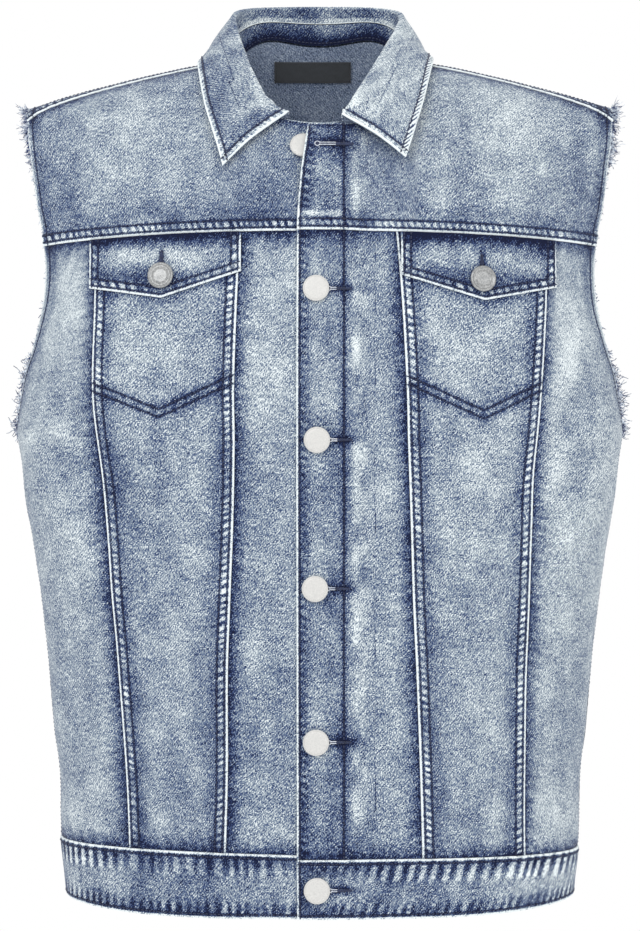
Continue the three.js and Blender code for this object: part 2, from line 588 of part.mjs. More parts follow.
// Waistband: u runs from the under end, round the left side and the back, to the over end
const bandTurn = (x) => Math.asin(Math.abs(x / halfWidth(BAND_MIDDLE_Z)) ** (ROUNDNESS / 2)) * Math.sign(x);
const signedPower = (value) => Math.sign(value) * Math.abs(value) ** (2 / ROUNDNESS);
function bandPoint(u, v) {
  const turn = mix(bandTurn(UNDER_EDGE_X), -2 * Math.PI + bandTurn(OVER_EDGE_X), u);
  const middleX = BAND_X * signedPower(Math.sin(turn));
  const side = Math.cos(turn) > 0 ? -1 : 1;
  const top = bandTopZ(middleX, side, u < 0.5 ? -1 : 1);
  const z = mix(bandBottomZ(middleX), top - GAP / 2, v);
  return [halfWidth(z) * signedPower(Math.sin(turn)), -depthAt(z, side) * signedPower(Math.cos(turn)), z];
}
{
  const lift = (u, v, p) => {
    const eased = 1 - smooth(OVER_BAND_EASE.from, OVER_BAND_EASE.to, p.x);
    const over = u > 0.5 && p.y < 0 ? OVER_BAND_RISE * eased : 0;
    return [over, over + BAND_WALL];
  };
  add('waistband', shell({
    pointAt: bandPoint, columns: evenLines(BAND_STEPS), rows: [0, 0.25, 0.75, 1], lift, facing: -1,
  }), cloth(0x93a0ae));
}

// Collar stations from the left front end, round the back, to the right front end
const collarStations = [
  ...collarLeft.map((row) => ({ ...row, sign: -1 })),
  ...[...collarRight].reverse().map((row) => ({ ...row, sign: 1 })),
];
const placeCurve = new THREE.SplineCurve(collarStations.map(({ neck, sign }, k) => (
  new THREE.Vector2(k, sign < 0 ? neck : 4 - neck)
)));
function neckAt(u) {
  const place = placeCurve.getPoint(u).y;
  return place < 2 ? neckPoint(place, -1) : neckPoint(4 - place, 1);
}
const curveOf = (points) => new THREE.CatmullRomCurve3(points.map(toVector), false, 'catmullrom');
const rollCurve = curveOf(collarStations.map(({ roll }) => roll));
const edgeCurve = curveOf(collarStations.map(({ edge }) => edge));
const standTop = (u) => neckAt(u).lerp(rollCurve.getPoint(u), STAND_SHARE);
{
  const standPoint = (u, v) => {
    const low = neckAt(u);
    const high = standTop(u);
    const length = low.distanceTo(high);
    const place = placeCurve.getPoint(u).y;
    const fromFront = Math.min(place, 4 - place);
    const nearShoulder = Math.exp(-(((fromFront - STAND_SHOULDER_PLACE) / STAND_SHOULDER_SPREAD) ** 2));
    const start = STAND_START + STAND_SHOULDER_START * nearShoulder;
    return low.lerp(high, mix(start / length, 1 - GAP / length, v)).toArray();
  };
  add('collar_stand', shell({
    pointAt: standPoint, columns: evenLines(COLLAR_STEPS), rows: [0, 0.5, 1], facing: 1,
    lift: () => [GAP, GAP + COLLAR_WALL],
  }), cloth(0x6a7689));

  // From the stand's top up over the roll, down the slightly bowed leaf to its free edge
  const leafPoint = (u, v) => {
    const foot = standTop(u);
    const roll = rollCurve.getPoint(u);
    const edge = edgeCurve.getPoint(u);
    const away = edge.clone().sub(roll).setZ(0).normalize();
    const bow = new THREE.Vector3(away.x, away.y, LEAF_BOW_UP * smooth(0, LEAF_END_SHARE, Math.min(u, 1 - u)));
    const climb = foot.distanceTo(roll);
    const fall = roll.distanceTo(edge);
    const round = Math.min(LEAF_BEND, climb * 0.4);
    const side = new THREE.Vector3().subVectors(edge, roll).normalize();
    const stations = [
      foot.clone().lerp(roll, Math.min(0.3, 0.4 / climb)),
      foot.clone().lerp(roll, 0.6),
      roll.clone(),
      roll.clone().addScaledVector(side, round * 1.6).add(new THREE.Vector3(0, 0, round * 0.55)),
      roll.clone().lerp(edge, 0.5).add(bow.multiplyScalar(fall * LEAF_BOW)),
      edge,
    ];
    return new THREE.CatmullRomCurve3(stations).getPoint(v).toArray();
  };
  const rows = [0, 0.2, 0.36, 0.42, 0.5, 0.6, 0.7, 0.8, 0.9, 1];
  add('collar_leaf', shell({
    pointAt: leafPoint, columns: evenLines(COLLAR_STEPS), rows, lift: () => [GAP, GAP + COLLAR_WALL], facing: 1,
  }), cloth(0xb6c1cb));
}

// Pocket flaps hang from under the chest seam
for (const [name, sign, flap] of [['left', -1, flapLeft], ['right', 1, flapRight]]) {
  const [inner, outer, tip] = [Math.abs(flap.inner), Math.abs(flap.outer), Math.abs(flap.tipX)];
  const pointAt = (u, v) => {
    const x = mix(inner, outer, u);
    const bottom = x < tip
      ? mix(flap.innerZ, flap.tipZ, (x - inner) / (tip - inner))
      : mix(flap.tipZ, flap.outerZ, (x - tip) / (outer - tip));
    const z = mix(bottom, frontYokeZ(x) - FLAP_TOP_GAP, v);
    return bodyPoint(sign * x, z, -1);
  };
  const tipShare = (tip - inner) / (outer - inner);
  const pastTip = evenLines(4).slice(1).map((u) => mix(tipShare, 1, u));
  const columns = [...evenLines(4).map((u) => u * tipShare), ...pastTip];
  const lift = (u, v, p) => {
    const low = WALL + FLAP_CLEAR + foldHeight(p.x, p.z, -1);
    return [low, low + FLAP_WALL];
  };
  const rows = [0, 0.2, 0.45, 0.7, 1];
  add(`pocket_flap_${name}`, shell({ pointAt, columns, rows, lift, facing: sign }), cloth(0xb4bfca));
}

// A shank button about its own axis, its foot at the origin
function buttonGeometry() {
  const shank = [[0, 0], [3.6, 0], [3.6, 1.2]];
  const cap = [[9, 1.5], [BUTTON_RADIUS, 2.5], [9.4, 3.7], [7.8, 4.1], [0, 3.9]];
  const profile = [...shank, ...cap];
  const lathe = new THREE.LatheGeometry(profile.map(([r, h]) => new THREE.Vector2(r, h)), BUTTON_SIDES);
  lathe.deleteAttribute('normal');
  lathe.deleteAttribute('uv');
  return BufferGeometryUtils.mergeVertices(lathe, 1e-4);
}
function addButton(name, x, z, height, color) {
  const place = toVector(bodyPoint(x, z, -1));
  const across = toVector(bodyPoint(x + 1, z, -1)).sub(toVector(bodyPoint(x - 1, z, -1)));
  const up = toVector(bodyPoint(x, z + 1, -1)).sub(toVector(bodyPoint(x, z - 1, -1)));
  const normal = across.cross(up).normalize();
  const button = add(name, buttonGeometry(), metal(color));
  button.position.copy(place.addScaledVector(normal, height + GAP));
  button.quaternion.setFromUnitVectors(new THREE.Vector3(0, 1, 0), normal);
}
frontButtons.forEach(({ x, z, on }, k) => {
  const heights = {
    under: WALL + foldHeight(x, z, -1),
    over: overRise(x, z) + WALL + DOUBLED + foldHeight(x, z, -1),
    band: OVER_BAND_RISE + BAND_WALL,
  };
  addButton(`front_button_${k + 1}`, x, z, heights[on], 0xdbdcd7);
});
for (const [name, place] of Object.entries(flapButtons)) {
  const height = WALL + FLAP_CLEAR + FLAP_WALL + FLAP_BUTTON_CLEAR + foldHeight(place.x, place.z, -1);
  addButton(`flap_button_${name}`, place.x, place.z, height, 0x9fa0a1);
}

// Neck label on the inside of the back yoke
{
  const backPointAt = (x, z) => {
    let [low, high] = [0, Math.PI / 2];
    for (let pass = 0; pass < 40; pass += 1) {
      const middle = (low + high) / 2;
      if (domePoint(x, middle, 1)[2] < z) low = middle;
      else high = middle;
    }
    return domePoint(x, low, 1);
  };
  const pointAt = (u, v) => {
    const x = LABEL.x + (u - 0.5) * LABEL.width;
    return backPointAt(x, LABEL.z + (v - 0.5) * LABEL.height);
  };
  add('neck_label', shell({
    pointAt, columns: evenLines(8), rows: [0, 0.5, 1], facing: -1,
    lift: () => [-LABEL.clear - LABEL.wall, -LABEL.clear],
  }), cloth(0x2b3034));
}

// Armhole fringe: a narrow strip beside the raw edge with strands fused to it
const wasm = await Module();
wasm.setup();
function toManifold(geometry) {
  const plain = geometry.clone();
  plain.deleteAttribute('normal');
  plain.deleteAttribute('uv');
  const merged = BufferGeometryUtils.mergeVertices(plain, 1e-4);
  return new wasm.Manifold(new wasm.Mesh({
    numProp: 3,
    vertProperties: new Float32Array(merged.attributes.position.array),
    triVerts: new Uint32Array(merged.index.array),
  }));
}
function toGeometry(manifold) {
  const mesh = manifold.getMesh();
  const geometry = new THREE.BufferGeometry();
  geometry.setAttribute('position', new THREE.BufferAttribute(new Float32Array(mesh.vertProperties), 3));
  geometry.setIndex(new THREE.BufferAttribute(new Uint32Array(mesh.triVerts), 1));
  return geometry;
}

// The raw edge of one armhole as a closed loop, each point with the cloth's normal
function armholeLoop(sign) {
  const frontYoke = frontYokePoint(sign);
  const outer = (z) => Math.abs(readTable(frontSeams, 'z', sign < 0 ? 'leftOuter' : 'rightOuter', z));
  const frontSide = lowerPoint(sidePanelX(outer), -1, sign);
  const backSide = lowerPoint(sidePanelX(backSeam), 1, sign);
  const backYoke = (share, v) => backYokePoint(0.5 + (sign * share) / 2, v);
  const sideRows = lowerRows.filter((v) => v >= UNDERARM_ROW);
  const edges = [
    { at: frontYoke, rows: [...frontYokeRows].reverse() },
    { at: frontSide, rows: [...sideRows].reverse() },
    { at: backSide, rows: sideRows },
    { at: backYoke, rows: backYokeRows.slice(0, -1) },
  ];
  const loop = [];
  for (const { at, rows } of edges) {
    for (const v of rows) {
      const edge = toVector(at(1, v));
      const across = edge.clone().sub(toVector(at(0.985, v)));
      const along = toVector(at(1, Math.min(v + 0.004, 1))).sub(toVector(at(1, Math.max(v - 0.004, 0))));
      const normal = across.cross(along).normalize();
      if (normal.dot(new THREE.Vector3(edge.x, edge.y * 4, 40)) < 0) normal.negate();
      if (loop.length && edge.distanceTo(loop[loop.length - 1].edge) < 2) loop.pop();
      loop.push({ edge, normal });
    }
  }
  return loop;
}

// How long the strands are: long and pale at the shoulder and under the arm, short between
function strandLength(z) {
  const shoulder = smooth(SHOULDER_FRINGE.from, SHOULDER_FRINGE.to, z);
  const underarm = smooth(UNDERARM_FRINGE.from, UNDERARM_FRINGE.to, z);
  return mix(SHORT_STRAND, LONG_STRAND, Math.max(shoulder, underarm));
}

function fringeGeometry(sign) {
  const loop = armholeLoop(sign);
  const count = loop.length;
  const frames = loop.map(({ edge, normal }, k) => {
    const along = loop[(k + 1) % count].edge.clone().sub(loop[(k + count - 1) % count].edge).normalize();
    const away = along.clone().cross(normal).normalize();
    if (away.dot(new THREE.Vector3(sign * ARMHOLE_CENTRE.x, 0, ARMHOLE_CENTRE.z).sub(edge)) < 0) away.negate();
    const side = edge.y < 0 ? -1 : 1;
    const height = WALL / 2 + foldHeight(edge.x, edge.z, side);
    const point = edge.clone().addScaledVector(away, STRIP_GAP + STRIP / 2).addScaledVector(normal, height);
    return { point, along, away, normal };
  });
  const corners = [[-1, -1], [1, -1], [1, 1], [-1, 1]];
  const points = frames.flatMap(({ point, away, normal }) => corners.map(([a, b]) => (
    point.clone().addScaledVector(away, (a * STRIP) / 2).addScaledVector(normal, (b * STRIP) / 2)
  )));
  const faces = [];
  for (let k = 0; k < count; k += 1) {
    for (let c = 0; c < 4; c += 1) {
      const [a, b] = [k * 4 + c, k * 4 + ((c + 1) % 4)];
      const [d, e] = [((k + 1) % count) * 4 + c, ((k + 1) % count) * 4 + ((c + 1) % 4)];
      faces.push(a, b, e, a, e, d);
    }
  }
  const pieces = [toManifold(closedGeometry(points, faces))];
  for (let k = 0; k < STRANDS; k += 1) {
    const place = (k / STRANDS) * count;
    const first = Math.floor(place);
    const second = (first + 1) % count;
    const root = frames[first].point.clone().lerp(frames[second].point, place - first);
    const { along, away, normal } = frames[first];
    const length = strandLength(root.z) * (1 + 0.35 * Math.sin(k * 7.3));
    const direction = away.clone().addScaledVector(along, 0.55 * Math.sin(k * 4.1));
    direction.addScaledVector(normal, 0.4 * Math.sin(k * 2.3)).normalize();
    const strand = new THREE.ConeGeometry(STRAND_RADIUS, length, 3, 1);
    strand.translate(0, length / 2, 0);
    strand.applyQuaternion(new THREE.Quaternion().setFromUnitVectors(new THREE.Vector3(0, 1, 0), direction));
    strand.translate(...root.toArray());
    pieces.push(toManifold(strand));
  }
  return toGeometry(pieces.reduce((all, piece) => all.add(piece)));
}
for (const [name, sign] of [['left', -1], ['right', 1]]) {
  add(`armhole_fringe_${name}`, fringeGeometry(sign), cloth(0xd5dde4));
}

export default group;
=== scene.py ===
# A sleeveless washed denim vest, dressed over its solids. Sizes are millimetres until a mesh is made, and the
# front is at -Y. The form functions give the same surfaces as the solids have.
import math

import bpy
import numpy as np
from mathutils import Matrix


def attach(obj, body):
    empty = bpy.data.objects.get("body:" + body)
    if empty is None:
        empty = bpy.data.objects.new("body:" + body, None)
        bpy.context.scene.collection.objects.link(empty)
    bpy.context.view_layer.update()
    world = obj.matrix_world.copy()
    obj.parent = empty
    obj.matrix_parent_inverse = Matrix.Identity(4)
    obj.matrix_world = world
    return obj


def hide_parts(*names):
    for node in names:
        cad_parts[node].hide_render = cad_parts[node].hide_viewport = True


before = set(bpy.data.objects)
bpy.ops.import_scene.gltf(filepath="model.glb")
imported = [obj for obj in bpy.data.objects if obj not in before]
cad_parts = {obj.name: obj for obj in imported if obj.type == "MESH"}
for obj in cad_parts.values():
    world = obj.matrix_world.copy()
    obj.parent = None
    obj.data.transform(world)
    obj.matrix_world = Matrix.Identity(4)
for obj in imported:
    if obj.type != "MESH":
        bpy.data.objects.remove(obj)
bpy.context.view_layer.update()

MM = 0.001

# Cloth thicknesses and seams
WALL = 1.4
DOUBLED = 0.6
LAP_RISE = 1.0
LAP_WIDTH = 8.6
GAP = 0.3
BAND_WALL = 2.4
FLAP_WALL = 1.8
COLLAR_WALL = 1.8

# The rounded body: z, half width, depth of the front, depth of the back
ROUNDNESS = 2.65
FRONT_BULGE_Z = -230
BACK_BULGE_Z = -170
BODY = [
    (40, 240, 116, 104), (-33, 240, 116, 104), (-80, 233, 116, 104), (-150, 227, 116, 104),
    (-220, 230, 116, 103), (-262, 234.4, 115.5, 101), (-284, 236.4, 115, 100), (-306, 232.6, 114.5, 98.5),
    (-340, 228.8, 113, 96), (-387, 221.4, 110, 92), (-450, 214, 107, 89), (-512, 209, 105, 88),
    (-551, 204, 104, 89), (-599, 202, 103, 91), (-636, 198, 102, 93), (-670, 195, 101, 93),
]
HPS_X = 77
NECK_Z = 5
SHOULDER_TIP_X = 228
SHOULDER_DROP = 35
BACK_NECK_RISE = 75
SHOULDER_SEAM_Y = 18.5

# Neckline
NECK_DROP = {-1: 50, 1: 55}
NECK_CORNER_Z = 2
BACK_NECK_ANGLE = 58.7
NECK_CORNER_ANGLE = 99.2
BACK_NECK_POWER = 2.27
NECK_SHARE = 0.4
NECK_FRONT_Z = -50
SHOULDER_GAP_ANGLE = 0.0055
# The back neckline ends just short of the shoulder seam
SHORT_OF_SEAM = 0.9999

# Seams: z, x
FRONT_YOKE_Z = -134
BACK_YOKE_Z = -140
YOKE_SIDE_X = 212
UNDERARM_Z = -284
UNDERARM_ROW = 0.7
SIDE_SEAM_TURN = 2e-4
# Where the search for a lower panel's height starts, and its rounds
PANEL_MIDDLE_Z = -370.0
SEAM_ROUNDS = 4
ARMHOLE = [
    (-20, 230), (-35, 229.5), (-77, 223), (-110, 217.5), (-132, 213), (-162, 210.5), (-188, 212.5),
    (-219, 221), (-239, 228), (-262, 232.6), (-284, 236.4),
]
SEAM_COLUMN = {("left", "outer"): 1, ("left", "inner"): 2, ("right", "inner"): 3, ("right", "outer"): 4}
FRONT_SEAMS = [
    (-120, 174, 59, 56, 173), (-180, 171, 62, 61, 172), (-252, 172.6, 64.4, 65, 168),
    (-292, 169.7, 64, 66, 165), (-350, 162.3, 65, 68, 161), (-415, 157, 67.5, 70, 158.8),
    (-466, 153, 69.3, 72.5, 156.8), (-547, 147, 69.5, 75.5, 156), (-620, 144, 71.5, 77.5, 156),
]
BACK_SEAMS = [(-120, 99), (-300, 93), (-450, 81), (-620, 71)]
OVER_EDGE = [(-40, -8.2), (-70, -11.5), (-92, -14.5), (-134, -17.4), (-660, -17.4)]
PLACKET_STITCH_X = 18
UNDER_EDGE_X = 14.5
OVER_EDGE_X = -17.4
OVER_RISE = 2.0
OVER_RISE_X = 38
OVER_LOW_RISE = (-570, -603)
OVER_BAND_RISE = 3.0
OPEN_RISE = 5.8
OPEN_Z = -69
OPEN_SPREAD = 32
OPEN_REACH = (2, 36)
BAND_BOTTOM_Z = -654
BAND_SIDE_LIFT = 8
BAND_X = 198
BAND_Z = -630
# The band's top: height in the middle and slope, on the left front, the right front and the back
BAND_TOPS = ((-606, -0.0275), (-608.5, 0), (-604.5, -0.02))

# Folds of the solids on the front and the back: start x and z, end x and z, height, width
LARGE_FOLDS = {
    -1: [
        (-205, -262, -120, -370, -3.2, 17), (-226, -300, -160, -420, 2.6, 16),
        (208, -258, 135, -352, -3.0, 16), (224, -305, 172, -450, 2.4, 18), (-42, -230, -36, -560, -2.0, 15),
        (47, -215, 44, -520, -1.8, 13), (-112, -430, -96, -585, -2.2, 20), (118, -455, 104, -590, 2.0, 19),
        (-196, -430, -180, -580, -3.4, 17), (198, -470, 176, -585, -3.0, 18),
    ],
    1: [
        (-204, -250, -118, -350, -3.2, 18), (206, -256, 126, -368, -3.0, 17),
        (-46, -330, -30, -560, -2.6, 20), (52, -390, 40, -580, 2.2, 19), (-150, -440, -132, -590, 2.4, 18),
        (160, -420, 140, -585, -2.8, 20),
    ],
}
# Smaller creases, in the same columns
CREASES = {
    -1: [
        (-214, -276, -176, -300, 1.1, 6), (-210, -288, -188, -330, -1.0, 7), (214, -280, 182, -304, 1.0, 6),
        (212, -296, 186, -334, -1.1, 7), (-196, -330, -170, -392, 0.8, 8), (196, -340, 176, -398, 0.9, 8),
        (30, -180, 28, -330, 1.0, 5), (38, -150, 33, -240, -0.8, 5), (29, -360, 31, -560, 0.9, 5),
        (-34, -180, -30, -300, 0.6, 5), (-50, -380, -46, -520, 0.7, 7), (56, -400, 54, -560, 0.8, 7),
        (-120, -280, -96, -330, 0.6, 8), (-140, -340, -118, -440, -0.7, 10), (100, -290, 122, -350, 0.6, 9),
        (128, -370, 112, -450, -0.8, 10), (-96, -520, -84, -598, 0.9, 8), (-126, -500, -120, -596, 0.8, 8),
        (96, -520, 92, -600, -0.8, 8), (136, -510, 128, -600, 0.9, 8), (-178, -560, -170, -604, 0.8, 7),
        (182, -560, 174, -604, 0.8, 7), (-150, -30, -120, -96, 0.7, 12), (-110, -22, -92, -80, -0.8, 11),
        (124, -26, 106, -96, -0.8, 12), (160, -34, 150, -110, 0.7, 12), (-200, -50, -186, -120, -0.8, 10),
        (200, -50, 190, -124, -0.8, 10), (40, -56, 64, -110, -0.9, 9), (52, -40, 82, -84, 0.7, 8),
        (-40, -70, -70, -118, 0.7, 9), (-60, -50, -84, -100, -0.6, 8),
    ],
    1: [
        (-206, -280, -170, -316, 1.1, 7), (208, -284, 172, -322, 1.0, 7), (-190, -330, -160, -400, -0.9, 9),
        (190, -336, 164, -410, 0.9, 9), (-110, -40, -70, -96, 0.9, 13), (112, -36, 76, -92, -0.8, 13),
        (-20, -60, -14, -128, 0.7, 12), (34, -64, 40, -130, -0.6, 12), (-60, -190, -52, -320, 0.8, 10),
        (60, -180, 58, -330, -0.8, 10), (8, -240, 12, -420, 0.7, 12), (-104, -470, -96, -596, 0.9, 9),
        (108, -480, 100, -598, 0.9, 9), (-172, -500, -164, -600, -0.8, 9), (176, -510, 166, -600, 0.8, 9),
        (-28, -480, -24, -598, 0.8, 8), (24, -500, 20, -598, -0.8, 8),
    ],
}

# Collar: place on the neckline (0 centre front, 1 shoulder seam, 2 centre back), top of the fold, free edge
COLLAR_LEFT = [
    (0.207, (-24.5, -77, -42), (-74, -95, -84)), (0.31, (-33.5, -74, -38), (-78, -90, -69)),
    (0.43, (-43, -64, -28), (-83, -81, -53)), (0.6, (-52, -46, -10), (-88.5, -69, -35)),
    (0.8, (-58.5, -28, 8), (-93, -46, -12)), (1.0, (-63.5, -12, 22), (-95, -22, 2)),
    (1.107, (-67, 2, 35), (-94, 4, 6)), (1.25, (-68, 20, 47), (-91, 28, 2)),
    (1.45, (-59, 37, 54), (-78, 50, -3)), (1.7, (-36, 48, 57), (-45, 68, -1)),
    (2.0, (0, 52, 58), (0, 74, 1)),
]
COLLAR_RIGHT = [
    (0.144, (17.3, -83, -44.5), (65, -98, -78)), (0.26, (24, -78, -34), (70, -91, -63)),
    (0.4, (31.5, -66, -22), (75, -83, -47)), (0.58, (40.5, -48, -6), (80, -69, -30)),
    (0.78, (48.5, -30, 9), (85, -46, -9)), (1.0, (55, -13, 21), (88, -22, 4)),
    (1.107, (60, 2, 31), (88, 4, 9)), (1.25, (65, 20, 45), (86, 28, 4)), (1.45, (58, 37, 53), (77, 50, -2)),
    (1.7, (36, 48, 57), (45, 68, -1)),
]
STAND_SHARE = 0.58
# The neck's place at which the stand starts highest, and how far to either side
STAND_SHOULDER = 1.12
STAND_SPREAD = 0.3
LEAF_BOW = 0.06
LEAF_BOW_UP = 0.8
LEAF_END_SHARE = 0.15

# Flaps: inner x, outer x, inner z, tip x, tip z, outer z
FLAPS = {-1: (59.5, 174, -165, 119.6, -184.7, -176.7), 1: (61, 178.5, -167.6, 124, -186.5, -176)}
FLAP_CLEAR = 0.9
FLAP_SWELL = 0.2
FRONT_BUTTONS = [(-13, -69), (-3, -178.5), (-2.3, -291.7), (-3.8, -403.5), (-3, -519.7), (-2.3, -631.5)]
FLAP_BUTTONS = {-1: (-119, -168.5), 1: (121.7, -171)}
LABEL_X, LABEL_Z = -6, 7.7
LABEL_WIDTH, LABEL_HEIGHT = 62, 16
LABEL_WALL = 0.8
LABEL_CLEAR = 0.8

# Pocket seams drawn by two rows of stitching: x, z of the upper row
POCKET_LINES = {
    -1: [(-178, -246), (-121.3, -268.5), (-66, -243)],
    1: [(67, -244), (123.5, -269.5), (175, -244.5)],
}
POCKET_ROWS = 3.1

# Stitching
PITCH = 3.2
THREAD = 0.42
DOUBLE_ROWS = (2.6, 8.4)
FLAP_ROWS = (2.4, 7.4)
ARMHOLE_ROW = 5.6
BAND_ROW = 3.2
STAND_ROW = 2.0
LEAF_ROW = 5.4
# Where the flap and the over front hide a seam's rows, and how far the open top reaches
FLAP_HIDES_Z = -172
OVER_HIDES_X = -19
OPEN_TOP_X = 36
HOLE_NEAR_X = -6


def mix(a, b, t):
    return a + (b - a) * t


def smooth(low, high, value):
    t = np.clip((value - low) / (high - low), 0, 1)
    return t * t * (3 - 2 * t)


def bell(value, centre, width):
    """1 at centre, falling away to either side"""
    return np.exp(-(((value - centre) / width) ** 2))


def read_table(table, column, at):
    """A smooth curve through one column of a table that is sorted by its first column"""
    keys = np.array([row[0] for row in table], float)
    values = np.array([row[column] for row in table], float)
    if keys[0] > keys[-1]:
        keys, values = keys[::-1], values[::-1]
    last = len(keys) - 1
    place = np.clip(at, keys[0], keys[-1])
    i = np.clip(np.searchsorted(keys, place, side="left") - 1, 0, last - 1)
    before = np.maximum(np.arange(last + 1) - 1, 0)
    after = np.minimum(np.arange(last + 1) + 1, last)
    slope = (values[after] - values[before]) / (keys[after] - keys[before])
    span = keys[i + 1] - keys[i]
    t = (place - keys[i]) / span
    rise = span * (t * (1 - t) * (1 - t) * slope[i] - t * t * (1 - t) * slope[i + 1])
    return mix(values[i], values[i + 1], t * t * (3 - 2 * t)) + rise


def half_width(z):
    return read_table(BODY, 1, z)


def depth_at(z, side):
    return np.where(np.asarray(side) < 0, read_table(BODY, 2, z), read_table(BODY, 3, z))


def ridge(x):
    """Height of the shoulder ridge"""
    past = np.maximum(np.abs(x) - HPS_X, 0) / (SHOULDER_TIP_X - HPS_X)
    return NECK_Z - SHOULDER_DROP * past**1.2


def plain_depth(x, z, side):
    across = np.clip(np.abs(x) / half_width(z), 0, 1)
    return depth_at(z, side) * (1 - across**ROUNDNESS) ** (1 / ROUNDNESS)


def body_point(x, z, side):
    """A point of the body by x and height, below the yokes"""
    x, z = np.broadcast_arrays(np.asarray(x, float), np.asarray(z, float))
    middle = FRONT_BULGE_Z if side < 0 else BACK_BULGE_Z
    up = np.clip((z - middle) / (ridge(x) - middle), 0, 1)
    return np.stack([x, side * plain_depth(x, z, side) * np.sqrt(1 - up * up), z], axis=-1)


def dome_point(x, angle, side):
    """A point of the body by x and dome angle; past 90 degrees it lies on the other side"""
    x, angle = np.broadcast_arrays(np.asarray(x, float), np.asarray(angle, float))
    over = angle > math.pi / 2
    face = np.where(over, -side, side)
    turn = np.where(over, math.pi - angle, angle)
    middle = np.where(face < 0, FRONT_BULGE_Z, BACK_BULGE_Z)
    rise = BACK_NECK_RISE * (1 - np.minimum(np.abs(x) / HPS_X, 1) ** 4) ** 2
    z = middle + (ridge(x) - middle) * np.sin(turn) + np.where(face > 0, rise, 0) * np.sin(turn) ** 3
    return np.stack([x, face * plain_depth(x, z, face) * np.cos(turn), z], axis=-1)


def dome_angle(x, z, side):
    middle = FRONT_BULGE_Z if side < 0 else BACK_BULGE_Z
    return np.arcsin(np.clip((z - middle) / (ridge(x) - middle), -1, 1))


def fold_height(x, z, side, folds=LARGE_FOLDS):
    total = 0.0 * x
    for x0, z0, x1, z1, height, width in folds[side]:
        dx, dz = x1 - x0, z1 - z0
        length = math.hypot(dx, dz)
        along = ((x - x0) * dx + (z - z0) * dz) / length**2
        across = ((x - x0) * dz - (z - z0) * dx) / length
        ends = smooth(-0.25, 0.3, along) * (1 - smooth(0.7, 1.25, along))
        total = total + height * ends * bell(across, 0, width)
    return total


def front_seam(name, which, z):
    """x of a front panel seam at height z"""
    return read_table(FRONT_SEAMS, SEAM_COLUMN[name, which], z)


def flap_bottom(x, flap):
    inner_x, outer_x, inner_z, tip_x, tip_z, outer_z = flap
    toward_tip = mix(inner_z, tip_z, (x - inner_x) / (tip_x - inner_x))
    past_tip = mix(tip_z, outer_z, (x - tip_x) / (outer_x - tip_x))
    return np.where(x < tip_x, toward_tip, past_tip)


def front_yoke_z(x):
    return FRONT_YOKE_Z - 8 * (x / YOKE_SIDE_X) ** 2


def back_yoke_z(x):
    return BACK_YOKE_Z - 6 * (x / YOKE_SIDE_X) ** 2


def armhole_x(z):
    return read_table(ARMHOLE, 1, z)


def band_top_z(x, side, half):
    left, right, back = (middle + slope * x for middle, slope in BAND_TOPS)
    return np.where(side > 0, back, np.where(half < 0, left, right))


def band_bottom_z(x):
    return BAND_BOTTOM_Z + BAND_SIDE_LIFT * np.abs(x / BAND_X) ** 4


def over_rise(x, z):
    """How far the over front stands off the under front"""
    flat = (OVER_RISE + smooth(*OVER_LOW_RISE, z)) * (1 - smooth(PLACKET_STITCH_X, OVER_RISE_X, x))
    return flat + OPEN_RISE * (1 - smooth(*OPEN_REACH, x)) * bell(z, OPEN_Z, OPEN_SPREAD)


def neck_place(place, sign):
    """x, dome angle and side on the neckline; place is 0 at the centre front and 2 at the centre back"""
    place = np.asarray(place, float)
    turn = np.radians(90 * np.minimum(place, 1))
    front_x = HPS_X * np.sin(turn)
    front = dome_angle(front_x, NECK_CORNER_Z - NECK_DROP[sign] * np.cos(turn), -1)
    back = np.clip(2 - place, 0, 1)
    rise = (NECK_CORNER_ANGLE - BACK_NECK_ANGLE) * back**BACK_NECK_POWER
    on_front = place <= 1
    x = np.where(on_front, front_x, HPS_X * np.sin(np.radians(90 * back)))
    return x, np.where(on_front, front, np.radians(BACK_NECK_ANGLE + rise)), np.where(on_front, -1, 1)


def neck_point(place, sign):
    x, angle, side = neck_place(place, sign)
    on_front = (side < 0)[..., None]
    point = np.where(on_front, dome_point(sign * x, angle, -1), dome_point(sign * x, angle, 1))
    if sign < 0:
        return point
    across = dome_point(x + 1, angle, -1) - dome_point(x - 1, angle, -1)
    up = dome_point(x, angle + 0.01, -1) - dome_point(x, angle - 0.01, -1)
    lifted = point + unit(np.cross(across, up)) * over_rise(point[..., 0], point[..., 2])[..., None]
    return np.where(on_front, lifted, point)


def unit(vectors):
    return vectors / np.maximum(np.linalg.norm(vectors, axis=-1, keepdims=True), 1e-12)


def shoulder_angle(x):
    """Dome angle of the shoulder seam on the front"""
    return np.arccos(np.clip(SHOULDER_SEAM_Y / plain_depth(x, ridge(x), -1), 0, 1))


